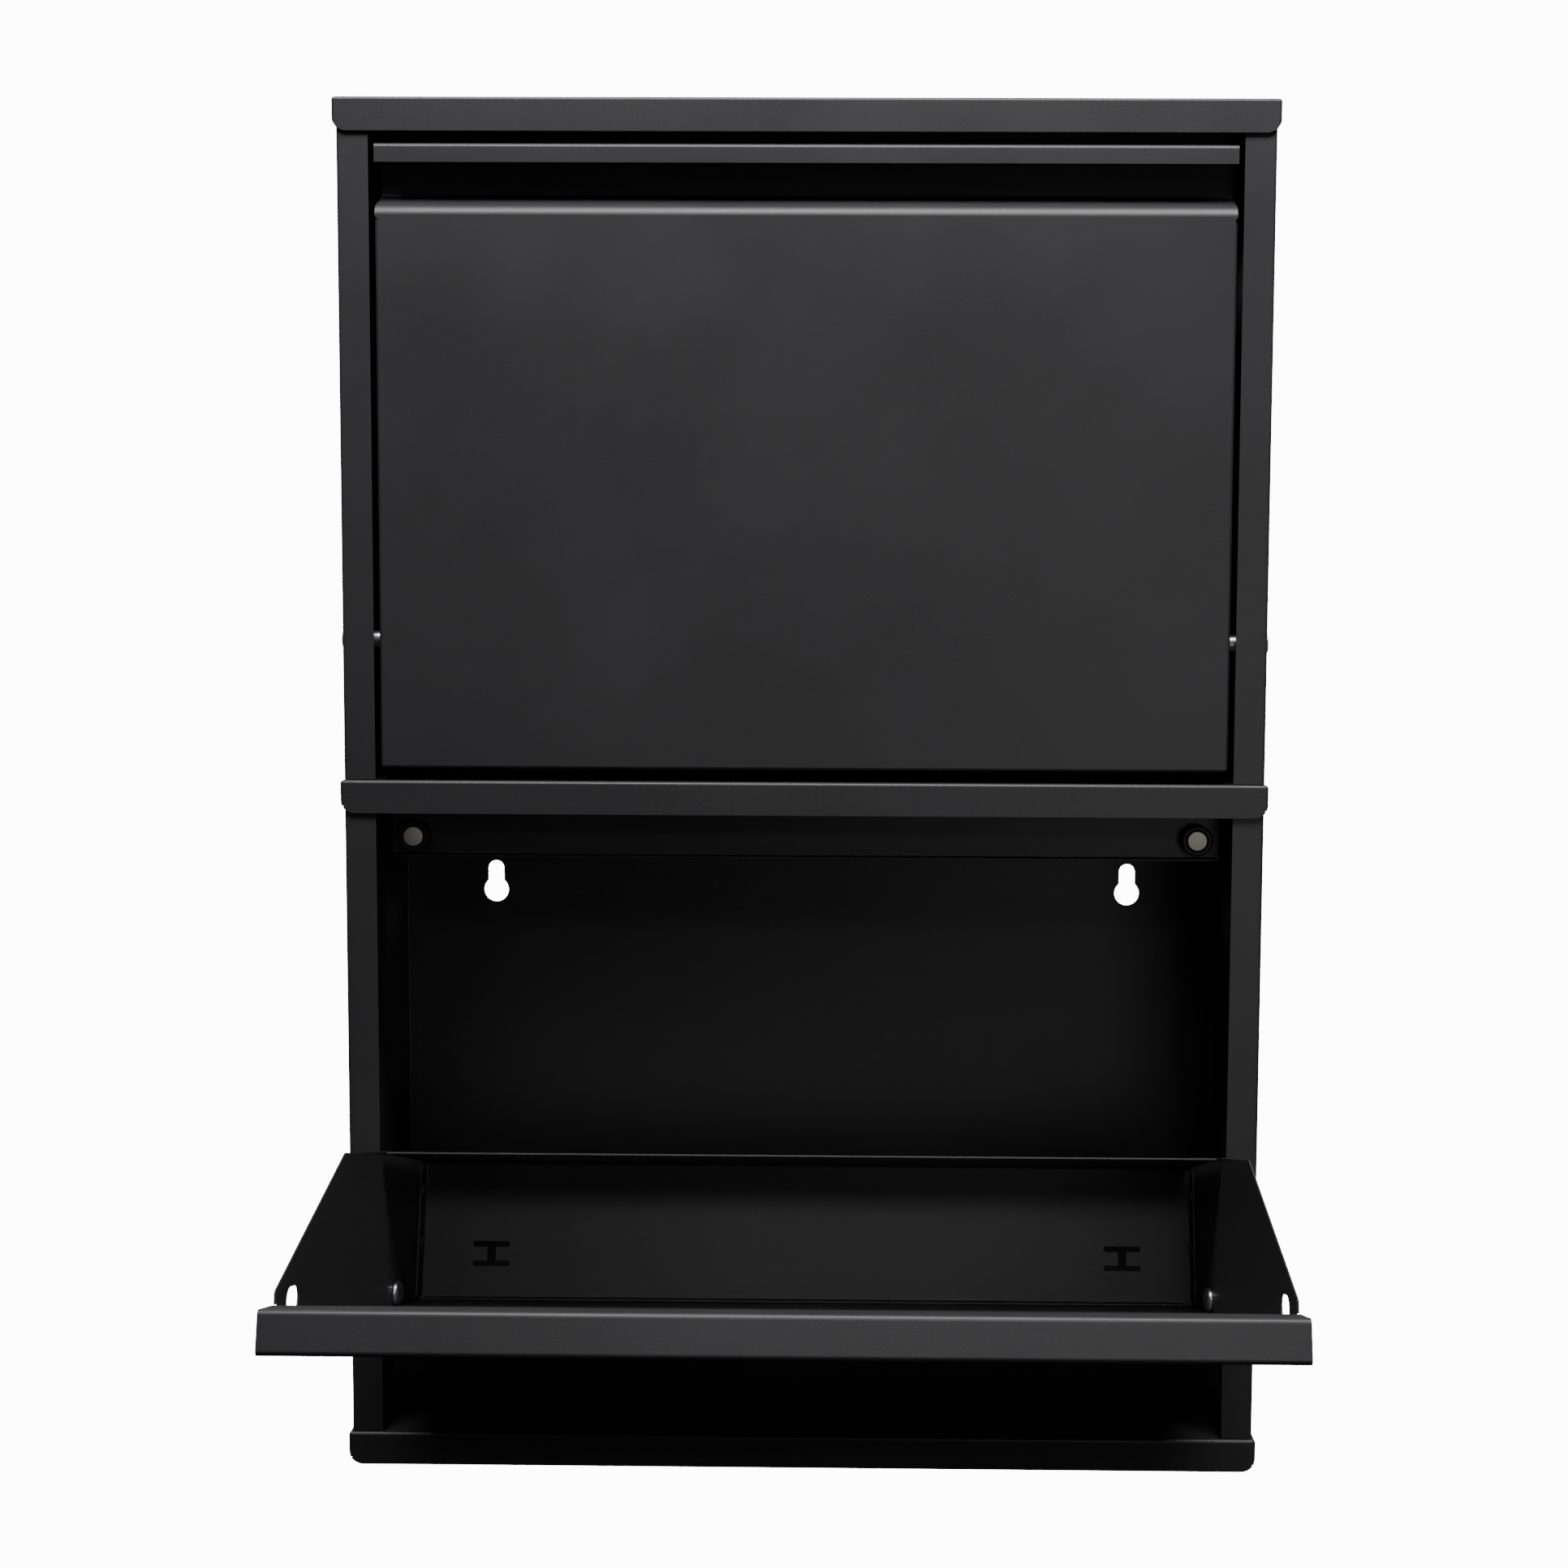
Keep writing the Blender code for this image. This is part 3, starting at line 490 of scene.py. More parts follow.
def grain_group():
    """Shader group of a fine-textured coat: grains, orange peel and slow drifts of tone."""
    name = "powder coat grain"
    if name in bpy.data.node_groups:
        return bpy.data.node_groups[name]
    tree = bpy.data.node_groups.new(name, "ShaderNodeTree")
    for label, kind in (("Vector", "Vector"), ("Dark", "Color"), ("Pale", "Color"),
                        ("Roughness", "Float"), ("Depth", "Float")):
        add_socket(tree, label, kind)
    for label, kind in (("Color", "Color"), ("Roughness", "Float"), ("Normal", "Vector")):
        add_socket(tree, label, kind, out=True)
    t = Tree(tree)
    ins = tree.nodes.new("NodeGroupInput")
    outs = tree.nodes.new("NodeGroupOutput")
    grain = t.add("ShaderNodeTexNoise", Scale=1500.0, Detail=2.0, Roughness=0.6)
    peel = t.add("ShaderNodeTexNoise", Scale=260.0, Detail=3.0, Roughness=0.5)
    drift = t.add("ShaderNodeTexNoise", Scale=9.0, Detail=4.0, Roughness=0.55)
    for node in (grain, peel, drift):
        t.join(ins.outputs["Vector"], node.inputs["Vector"])
    specks = t.add("ShaderNodeMapRange", From_Min=0.52, From_Max=0.75)
    t.join(grain.outputs["Fac"], specks.inputs["Value"])
    clouds = t.add("ShaderNodeMapRange", From_Min=0.35, From_Max=0.7, To_Max=0.35)
    t.join(drift.outputs["Fac"], clouds.inputs["Value"])
    both = t.maths("MAXIMUM", specks.outputs["Result"], clouds.outputs["Result"])
    tone = t.add("ShaderNodeMix", data_type="RGBA")
    t.join(both, tone.inputs["Factor"])
    t.join(ins.outputs["Dark"], tone.inputs["A"])
    t.join(ins.outputs["Pale"], tone.inputs["B"])
    t.join(tone.outputs["Result"], outs.inputs["Color"])
    smoothest = t.maths("SUBTRACT", ins.outputs["Roughness"], 0.08)
    t.join(t.maths("MULTIPLY_ADD", drift.outputs["Fac"], 0.16, smoothest), outs.inputs["Roughness"])
    bump = t.add("ShaderNodeBump", Distance=0.0004)
    t.join(ins.outputs["Depth"], bump.inputs["Strength"])
    relief = t.maths("MULTIPLY_ADD", peel.outputs["Fac"], 0.6, grain.outputs["Fac"])
    t.join(relief, bump.inputs["Height"])
    t.join(bump.outputs["Normal"], outs.inputs["Normal"])
    return tree


def start_material(name):
    """New node material, its tree helper, its shader and an Object-coordinate socket."""
    material = bpy.data.materials.new(name)
    material.use_nodes = True
    tree = Tree(material.node_tree)
    shader = material.node_tree.nodes["Principled BSDF"]
    coordinates = tree.add("ShaderNodeTexCoord")
    return material, tree, shader, coordinates.outputs["Object"]


def coated(name, dark, pale, roughness, depth):
    """Painted or moulded surface with the coat's grain."""
    material, tree, shader, place = start_material(name)
    group = tree.add("ShaderNodeGroup")
    group.node_tree = grain_group()
    group.inputs["Dark"].default_value = (*dark, 1)
    group.inputs["Pale"].default_value = (*pale, 1)
    group.inputs["Roughness"].default_value = roughness
    group.inputs["Depth"].default_value = depth
    tree.join(place, group.inputs["Vector"])
    tree.join(group.outputs["Color"], shader.inputs["Base Color"])
    tree.join(group.outputs["Roughness"], shader.inputs["Roughness"])
    tree.join(group.outputs["Normal"], shader.inputs["Normal"])
    material.diffuse_color = (*dark, 1)
    return material


def plated(name, tint, roughness, stretch):
    """Plated metal with fine turning or rolling marks along one direction."""
    material, tree, shader, place = start_material(name)
    mapping = tree.add("ShaderNodeMapping", Scale=stretch)
    tree.join(place, mapping.inputs["Vector"])
    marks = tree.add("ShaderNodeTexNoise", Scale=900.0, Detail=4.0, Roughness=0.65)
    tree.join(mapping.outputs["Vector"], marks.inputs["Vector"])
    shade = [c * 0.72 for c in tint]
    tone = tree.add("ShaderNodeMix", data_type="RGBA", A=(*shade, 1), B=(*tint, 1))
    tree.join(marks.outputs["Fac"], tone.inputs["Factor"])
    tree.join(tone.outputs["Result"], shader.inputs["Base Color"])
    gloss = tree.add("ShaderNodeMapRange", To_Min=roughness - 0.08, To_Max=roughness + 0.12)
    tree.join(marks.outputs["Fac"], gloss.inputs["Value"])
    tree.join(gloss.outputs["Result"], shader.inputs["Roughness"])
    bump = tree.add("ShaderNodeBump", Strength=0.12, Distance=0.0003)
    tree.join(marks.outputs["Fac"], bump.inputs["Height"])
    tree.join(bump.outputs["Normal"], shader.inputs["Normal"])
    shader.inputs["Metallic"].default_value = 1.0
    material.diffuse_color = (*tint, 1)
    return material


def material_of(name):
    """Finish by name, made the first time it is asked for."""
    if name in bpy.data.materials:
        return bpy.data.materials[name]
    finish = bpy.context.scene.cabinet_finish
    if name == "black powder coat":
        return coated(name, finish.coat, finish.coat_pale, finish.coat_roughness, finish.grain)
    if name == "coated rivet":
        return coated(name, [c * 1.4 for c in finish.coat], finish.coat_pale, 0.3, finish.grain / 2)
    if name == "moulded cup":
        return coated(name, finish.plastic, [c * 1.5 for c in finish.plastic], 0.5, finish.grain / 2)
    if name == "zinc plate":
        return plated(name, finish.zinc, 0.32, (1.0, 1.0, 1.0))
    return plated(name, finish.nickel, 0.55, (1.0, 1.0, 6.0))


COAT = ("black powder coat", "black_powder_coat")
ZINC = ("zinc plate", "zinc_steel")
RIVET = ("coated rivet", "dark_rivet")
NICKEL = ("nickel plate", "nickel_magnet")
PLASTIC = ("moulded cup", "black_plastic")


def hand_over(piece, finish, body, *nodes):
    """Give a finished piece its material and hand it to the frame in place of its CAD nodes."""
    material, slot = finish
    piece.data.materials.clear()
    piece.data.materials.append(material_of(material))
    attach(piece, body)
    if nodes:
        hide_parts(*nodes)
    return piece


# ---- caps --------------------------------------------------------------------------------

def cap_faces(low, high, side_rise):
    """Top, front skirt and side skirts of a cap; it is open behind and below."""
    a, b, c, d = low.x, high.x, low.y, high.y
    top, foot, side = high.z, low.z, low.z + side_rise
    return [
        [(a, c, top), (b, c, top), (b, d, top), (a, d, top)],
        [(a, c, foot), (b, c, foot), (b, c, side), (b, c, top), (a, c, top), (a, c, side)],
        [(b, c, side), (b, d, side), (b, d, top), (b, c, top)],
        [(a, d, side), (a, c, side), (a, c, top), (a, d, top)],
    ]


def make_cap(name, screw_floor):
    sheet, _, case = settings()
    low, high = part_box(name)
    piece = folded(name + "_sheet", cap_faces(low, high, case.side_skirt), lambda middle: sheet.bend)
    r = case.cap_corner
    cutters = []
    for _, side in SIDES:
        x = high.x * side
        arc = [(x - side * r * (1 - math.sin(t)), low.z + r * (1 - math.cos(t)))
               for t in [math.pi / 2 * i / 16 for i in range(17)]]
        outline = [(x + side * MARGIN, low.z - MARGIN), (arc[0][0], low.z - MARGIN), *arc,
                   (x + side * MARGIN, arc[-1][1])]
        cutters.append(prism(f"{name}_corner_{side}", outline, "Y", *through(name, "Y")))
    if screw_floor:
        cutters += screw_cutters(screw_floor, high.z - sheet.thickness, high.z)
    punch(piece, *cutters)
    return hand_over(deburr(piece), COAT, "cabinet", name)


# ---- side panels -------------------------------------------------------------------------

def flange_run(radius, width, lean, steps):
    """(outwards, inwards) places across a flange, from its fold to its free edge."""
    angle = math.pi / 2 - math.atan2(lean, width)
    turns = [angle * i / steps for i in range(steps + 1)]
    places = [(radius * math.sin(a), radius * (1 - math.cos(a))) for a in turns]
    out, down = places[-1]
    return places + [(out + (width - down) / math.tan(angle), width)]


def flanged_plate(name, low, high, flanges, place):
    """Plate with a straight flange on each side that has a width.

    The plate lies in local XY from low to high, seen from +Z, and its flanges point to -Z.
    flanges maps 'left', 'right', 'bottom', 'top' to (width, lean, start, end) along that side.
    """
    sheet = bpy.context.scene.cabinet_sheet
    outward = {"left": -1, "right": 1, "bottom": -1, "top": 1}
    limits = {"left": low[0], "right": high[0], "bottom": low[1], "top": high[1]}
    runs = {side: flange_run(sheet.bend, width, lean, sheet.steps)
            for side, (width, lean, _, _) in flanges.items()}
    fold = {side: limits[side] - outward[side] * (runs[side][-1][0] if side in runs else 0)
            for side in limits}
    spans = {side: flanges[side][2:] if side in flanges else
             (fold["bottom"], fold["top"]) if side in ("left", "right") else (fold["left"], fold["right"])
             for side in limits}
    flat = []
    order = ("bottom", "right", "top", "left")
    for side, following in zip(order, order[1:] + order[:1]):
        start, end = spans[side] if side in ("bottom", "right") else spans[side][::-1]
        turn_at = spans[following][0 if following in ("bottom", "right") else 1]
        if side in ("bottom", "top"):
            flat += [(start, fold[side]), (end, fold[side]), (end, turn_at)]
        else:
            flat += [(fold[side], start), (fold[side], end), (turn_at, end)]
    bm = bmesh.new()
    bm.faces.new([bm.verts.new((u, v, 0)) for u, v in drop_repeats(flat)])
    for side, places in runs.items():
        start, end = spans[side]
        rows = []
        for out, down in places:
            level = fold[side] + outward[side] * out
            ends = [(level, start), (level, end)]
            if side in ("bottom", "top"):
                ends = [(start, level), (end, level)]
            rows.append([bm.verts.new((u, v, -down)) for u, v in ends])
        for first, second in zip(rows, rows[1:]):
            quad = [first[0], first[1], second[1], second[0]]
            bm.faces.new(quad if side in ("left", "top") else quad[::-1])
    bmesh.ops.remove_doubles(bm, verts=bm.verts, dist=1e-6)
    bmesh.ops.recalc_face_normals(bm, faces=bm.faces)
    if max(bm.faces, key=lambda face: face.calc_area()).normal.z < 0:
        bmesh.ops.reverse_faces(bm, faces=bm.faces)
    return thicken(link_bm(name, bm, place))


def drop_repeats(points):
    """Points without those that repeat their neighbour."""
    kept = []
    for point in points:
        if not kept or (Vector(point) - Vector(kept[-1])).length > 1e-6:
            kept.append(point)
    if (Vector(kept[0]) - Vector(kept[-1])).length < 1e-6:
        kept.pop()
    return kept


def frame_of(right, up, origin):
    """Placement with local X along right, local Y along up and local Z towards the viewer."""
    normal = right.cross(up)
    turn = Matrix((right, up, normal)).transposed().to_4x4()
    return Matrix.Translation(origin) @ turn


def make_side_panel(module, side_name, side):
    sheet, _, case = settings()
    node = f"{module}_{side_name}_side_panel"
    low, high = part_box(node)
    outer = max(abs(low.x), abs(high.x))
    place = frame_of(Y_AXIS * side, Z_AXIS, X_AXIS * side * outer)
    ends = sorted((side * low.y, side * high.y))
    front, rear = ("left", "right") if side > 0 else ("right", "left")
    relief = sheet.bend + case.relief
    across = (ends[0] + relief, ends[1] - relief)
    flanges = {
        front: (high.x - low.x, 0, low.z, high.z),
        rear: (case.flange, 0, low.z + relief, high.z - relief),
        "bottom": (case.flange, 0, *across),
        "top": (case.flange, 0, *across),
    }
    piece = flanged_plate(node + "_sheet", (ends[0], low.z), (ends[1], high.z), flanges, place)
    pivot = JOINTS[module + "_bin"]["pos_m"]
    cutters = [prism(node + "_pivot_hole", disc(pivot[1:], case.journal_hole), "X", *through(node, "X"))]
    cutters += screw_cutters(module, low.z, low.z + sheet.thickness, (side,))
    if module == "lower":
        cutters += screw_cutters(module, high.z - sheet.thickness, high.z, (side,))
    punch(piece, *cutters)
    return hand_over(deburr(piece), COAT, "cabinet", node)


def screw_nodes(module):
    return [f"{module}_{side}_{place}_screw" for side, _ in SIDES for place in ("front", "rear")]


def screw_cutters(module, low, high, sides=(-1, 1)):
    radius = bpy.context.scene.cabinet_case.screw_hole
    cutters = []
    for node in screw_nodes(module):
        spot = centre_of(node).xy
        if math.copysign(1, spot.x) in sides:
            cutters.append(prism(node + "_hole", disc(spot, radius, 24), "Z", low - MARGIN, high + MARGIN))
    return cutters


# ---- back panels -------------------------------------------------------------------------

def make_back_panel(module):
    sheet, _, case = settings()
    node = module + "_back_panel"
    low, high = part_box(node)
    place = frame_of(-X_AXIS, Z_AXIS, Y_AXIS * high.y)
    half = high.x
    flange_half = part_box(f"{module}_right_side_panel")[1].x - case.flange - sheet.gap
    flanges = {side: (high.y - low.y, 0, -flange_half, flange_half) for side in ("bottom", "top")}
    piece = flanged_plate(node + "_sheet", (-half, low.z), (half, high.z), flanges, place)
    seat = low.z - sheet.gap + case.keyhole_seat
    centre = seat - case.keyhole_drop
    head, slot = case.keyhole_head, case.keyhole_slot
    join_angle = math.asin(slot / head)
    cutters = []
    for _, side in SIDES:
        x = side * case.keyhole_span
        arc = [(x + head * math.sin(a), centre + head * math.cos(a))
               for a in [join_angle + (2 * math.pi - 2 * join_angle) * i / 40 for i in range(41)]]
        cap = [(x - slot * math.cos(a), seat + slot * math.sin(a))
               for a in [math.pi * i / 20 for i in range(21)]]
        cutters.append(prism(f"{node}_keyhole_{side}", arc + cap, "Y", *through(node, "Y")))
    punch(piece, *cutters)
    return hand_over(deburr(piece), COAT, "cabinet", node)


# ---- magnet rails ------------------------------------------------------------------------

def make_rail(module):
    sheet, _, case = settings()
    node = module + "_magnet_rail"
    low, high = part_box(node)
    half, lip = high.x, low.y
    web = lip + case.rail_lip
    foot, top = low.z + sheet.thickness, high.z
    faces = [
        [(half, lip, foot), (half, web, foot), (-half, web, foot), (-half, lip, foot)],
        [(-half, web, foot), (half, web, foot), (half, web, top), (-half, web, top)],
        [(-half, web, top), (half, web, top), (half, high.y, top), (-half, high.y, top)],
    ]
    inner_bend = sheet.bend - sheet.thickness
    piece = folded(node + "_sheet", faces,
                   lambda middle: sheet.bend if middle.z > (foot + top) / 2 else inner_bend)
    cutters = []
    for side_name, _ in SIDES:
        centre = centre_of(f"{module}_{side_name}_magnet_cup")
        cutters.append(prism(f"{node}_{side_name}_hole", disc((centre.x, centre.z), case.rail_hole), "Y",
                             web - MARGIN, web + sheet.thickness + MARGIN))
    punch(piece, *cutters)
    return hand_over(deburr(piece), COAT, "cabinet", node)


def make_magnet(module, side_name):
    """Plastic cup with a bevelled rim and its plated magnet."""
    sheet, _, case = settings()
    cup_node, magnet_node = f"{module}_{side_name}_magnet_cup", f"{module}_{side_name}_magnet"
    cup_low, cup_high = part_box(cup_node)
    magnet_low, magnet_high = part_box(magnet_node)
    centre = centre_of(magnet_node)
    face = magnet_low.y
    place = facing(Y_AXIS, Vector((centre.x, face, centre.z)))
    radius = (cup_high.x - cup_low.x) / 2
    bore = (magnet_high.x - magnet_low.x) / 2
    thick = magnet_high.y - face
    rail_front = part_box(module + "_magnet_rail")[0].y + case.rail_lip - sheet.gap - face
    peg_end, rim = cup_high.y - face, cup_low.y - face
    well, floor = bore + sheet.gap, thick + sheet.gap
    inner_bevel, outer_bevel, taper = 0.9 * MM, 1.1 * MM, 1.2 * MM
    cup = [(floor, 0), (floor, well), (rim + inner_bevel, well), (rim, well + inner_bevel),
           (rim, radius - outer_bevel), (rim + outer_bevel, radius), (rail_front, radius),
           (rail_front, case.cup_peg), (peg_end - taper, case.cup_peg), (peg_end, case.cup_peg - 0.8 * MM),
           (peg_end, 0)]
    magnet = [(0, 0), (0, bore), (thick, bore), (thick, 0)]
    hand_over(turned(cup_node + "_moulding", soften(cup), place), PLASTIC, "cabinet", cup_node)
    disc_piece = turned(magnet_node + "_disc", soften(magnet, 0.35 * MM), place)
    hand_over(disc_piece, NICKEL, "cabinet", magnet_node)


# ---- pivots ------------------------------------------------------------------------------

def make_pivot(module, side_name, side):
    """Shouldered pin riveted through the side panel and the domed cap on its journal."""
    pin_node, cap_node = f"{module}_{side_name}_pivot_pin", f"{module}_{side_name}_pivot_cap"
    sheet, _, case = settings()
    gap = sheet.gap
    _, *pivot = JOINTS[module + "_bin"]["pos_m"]
    place = facing(X_AXIS * side, Vector((0, *pivot)))
    pin_box, cap_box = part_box(pin_node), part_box(cap_node)
    near, far = sorted(abs(corner.x) for corner in pin_box)
    cap_near, cap_far = sorted(abs(corner.x) for corner in cap_box)
    foot_radius, dome_radius = [(high.z - low.z) / 2 for low, high in (pin_box, cap_box)]
    panel = max(abs(corner.x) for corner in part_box(f"{module}_{side_name}_side_panel"))
    inside = panel - sheet.thickness - gap
    shoulder = cap_far + 2 * gap + sheet.thickness
    journal, spacer, button = case.journal, case.spacer, case.button
    foot_thickness, rim = 2 * MM, 0.3 * MM
    pin = [(near, 0), (near, journal), (shoulder, journal), (shoulder, spacer),
           (inside - foot_thickness, spacer), (inside - foot_thickness, foot_radius),
           (inside, foot_radius), (inside, journal), (panel + gap, journal), (panel + gap, button),
           (far - 0.4 * MM, button * 0.86), (far, button * 0.45), (far, 0)]
    rise = (cap_far - cap_near) * 0.8
    arc = [(cap_near + rise * (1 - math.cos(t)), dome_radius * math.sin(t))
           for t in [math.pi / 2 * i / 12 for i in range(13)]]
    cap = arc + [(cap_far - rim, dome_radius), (cap_far, dome_radius - rim), (cap_far, journal + gap),
                 (near - gap, journal + gap), (near - gap, 0)]
    hand_over(turned(pin_node + "_turning", soften(pin), place), ZINC, "cabinet", pin_node)
    hand_over(turned(cap_node + "_dome", cap, place), ZINC, "cabinet", cap_node)


# ---- bins --------------------------------------------------------------------------------

def shut_box(piece):
    """Box of a piece of the shut upper bin, about its pivot."""
    pivot = Vector((0, *JOINTS["upper_bin"]["pos_m"][1:]))
    return [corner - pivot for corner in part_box("upper_" + piece)]


def make_front_panel(module):
    """Face with side and bottom returns, slope, web, handle flange and lip from one sheet."""
    sheet, sizes, _ = settings()
    hang = Hang(module)
    node = module + "_front_panel"
    half, t = hang.half, sheet.thickness
    flange = hang.height - t
    profile = [(0, 0), (0, sizes.face_top - sizes.soft_bend), (0, sizes.face_top),
               (sizes.recess, sizes.face_top + sizes.slope_rise), (sizes.recess, flange), (t, flange),
               (t, hang.height - sizes.lip)]
    rows = [[(x, *hang.at(*spot)) for x in (-half, half)] for spot in profile]
    (a0, b0), (a1, b1), (a2, b2) = rows[:3]
    faces = [[a0, b0, b1, b2, a2, a1]]
    for (c0, d0), (c1, d1) in zip(rows[2:], rows[3:]):
        faces.append([c0, d0, d1, c1])
    back, foot = hang.at(sizes.face_return, 0)
    faces.append([(-half, back, foot), (half, back, foot), b0, a0])
    for x, (low, high) in ((-half, (a0, a1)), (half, (b0, b1))):
        corners = [(x, back, low[2]), low, high, (x, back, high[2])]
        faces.append(corners if x < 0 else corners[::-1])
    soft_level, flange_level = [hang.at(0, level)[1] for level in (sizes.face_top, flange)]

    def radius(middle):
        if abs(middle.z - soft_level) < t and middle.x == 0:
            return sizes.soft_bend
        if abs(middle.z - flange_level) < t:
            return sizes.handle_bend - t
        return sheet.bend

    piece = folded(node + "_sheet", faces, radius, hang.place)
    punch(piece, prism(node + "_pivot_notches", disc((0, 0), sizes.notch), "X", -half - t, half + t,
                       hang.place))
    return hand_over(deburr(piece), COAT, hang.body, node)


def make_tray(module):
    """Tray bottom with low flanges, a tall rear wall and two lanced slots."""
    sheet, sizes, _ = settings()
    hang = Hang(module)
    node = module + "_tray"
    t, lean = sheet.thickness, sizes.tray_lean
    low, high = shut_box("tray")
    half = high.x
    place = hang.place @ frame_of(-X_AXIS, Y_AXIS, Vector((0, 0, low.z)))
    relief = sheet.bend + sizes.relief
    across, along = (-half + relief, half - relief), (low.y + relief, high.y - lean - relief)
    flanges = {
        "left": (sizes.tray_side, 0, *along),
        "right": (sizes.tray_side, 0, *along),
        "bottom": (sizes.tray_front, 0, *across),
        "top": (high.z - low.z, lean, *across),
    }
    piece = flanged_plate(node + "_sheet", (-half, low.y), (half, high.y), flanges, place)
    cutters = [lance_cutter(f"{node}_lance_{side}", side * sizes.lance_span, low.z, hang)
               for _, side in SIDES]
    punch(piece, *cutters, *rivet_cutters(node, hang, -half - t, half + t))
    return hand_over(deburr(piece), COAT, hang.body, node)


def lance_cutter(name, x, level, hang):
    """Two bars across the tray joined by a stem."""
    _, sizes, _ = settings()
    bar, stem = sizes.lance_bar / 2, sizes.lance_stem / 2
    outer = (sizes.lance_pitch + sizes.lance_width) / 2
    inner = (sizes.lance_pitch - sizes.lance_width) / 2
    middle, _ = hang.at(sizes.lance_setback, 0)
    half = [(bar, outer), (bar, inner), (stem, inner), (stem, -inner), (bar, -inner), (bar, -outer)]
    outline = half + [(-u, v) for u, v in reversed(half)]
    placed = [(x + u, middle + v) for u, v in outline]
    return prism(name, placed, "Z", level - MARGIN, level + 2 * MARGIN, hang.place)


def rivet_nodes(module):
    return [f"{module}_{side}_{place}_rivet" for side, _ in SIDES for place in ("front", "rear")]


def rivet_spots():
    """(y, z) about the pivot of the rivets on one wing of the shut bin."""
    boxes = [shut_box(f"left_{place}_rivet") for place in ("front", "rear")]
    return [((low.y + high.y) / 2, (low.z + high.z) / 2) for low, high in boxes]


def rivet_cutters(node, hang, low, high):
    radius = bpy.context.scene.cabinet_case.rivet_hole
    return [prism(f"{node}_rivet_hole_{i}", disc(spot, radius, 24), "X", low, high, hang.place)
            for i, spot in enumerate(rivet_spots())]


def make_wing(module, side_name, side):
    """Slanted side plate with an oblong slot, a pivot hole and an outward stop tab."""
    sheet, sizes, _ = settings()
    hang = Hang(module)
    node = f"{module}_{side_name}_wing"
    lap = sheet.thickness + sheet.gap
    low, high = shut_box(side_name + "_wing")
    inner, outer = sorted((abs(low.x), abs(high.x)))
    depth, top = high.y - hang.face, high.z - hang.foot
    web = sizes.recess + lap
    corners = [(lap, lap, 2 * MM), (depth, lap, 2 * MM), (depth, sizes.shoulder, 6 * MM),
               (web + sizes.wing_tip, top, 2 * MM), (web, top, 1 * MM),
               (web, sizes.face_top + sizes.slope_rise - lap, 0),
               (lap, sizes.face_top - sizes.soft_bend, 0)]
    outline = [hang.at(u, v) for u, v in rounded(corners)]
    near, far = sorted((side * inner, side * (inner + sheet.thickness)))
    piece = prism(node + "_sheet", outline, "X", near, far, hang.place)
    tab = stop_tab(node + "_tab", hang, side, inner, outer, depth)
    union = piece.modifiers.new("Tab", "BOOLEAN")
    union.operation = "UNION"
    union.object = tab
    settle(piece)
    bpy.data.objects.remove(tab, do_unlink=True)
    y, z = hang.at(sizes.slot_setback, sizes.slot_level)
    w, h = sizes.slot_depth / 2, sizes.slot_height / 2
    end = w * 0.999
    ends = ((-w, -h), (w, -h), (w, h), (-w, h))
    oblong = rounded([(y + u, z + v, end) for u, v in ends], 12)
    reach = (near - MARGIN, far + MARGIN)
    punch(piece,
          prism(node + "_pivot_hole", disc((0, 0), sizes.wing_hole), "X", *reach, hang.place),
          prism(node + "_oblong", oblong, "X", *reach, hang.place),
          *rivet_cutters(node, hang, *reach))
    deburr(piece)
    rear, _ = hang.at(depth, 0)
    for vertex in piece.data.vertices:
        spot = hang.place.inverted() @ vertex.co
        spot.y = min(spot.y, rear)
        vertex.co = hang.place @ spot
    return hand_over(piece, COAT, hang.body, node)


def stop_tab(name, hang, side, inner, outer, depth):
    """Tab folded outwards from the wing's rear edge, as a bent strip."""
    sheet, sizes, _ = settings()
    t, bend = sheet.thickness, sheet.bend
    rear, _ = hang.at(depth, 0)
    opening = math.radians(max(abs(limit) for limit in JOINTS[hang.body]["range_deg"]))
    level = (rear * math.cos(opening) - hang.face - t - sheet.gap) / math.sin(opening)
    small, root = bend - t, rear - bend - 1 * MM
    arc = [(side * (inner + bend - small * math.cos(a)), rear - bend + small * math.sin(a))
           for a in [math.pi / 2 * i / 6 for i in range(7)]]
    outline = [(side * inner, root), (side * inner, rear), (side * outer, rear), (side * outer, rear - t),
               *arc[::-1], (side * (inner + t), root)]
    return prism(name, outline, "Z", level - sizes.tab_height, level, hang.place)


# ---- fasteners by geometry nodes ---------------------------------------------------------

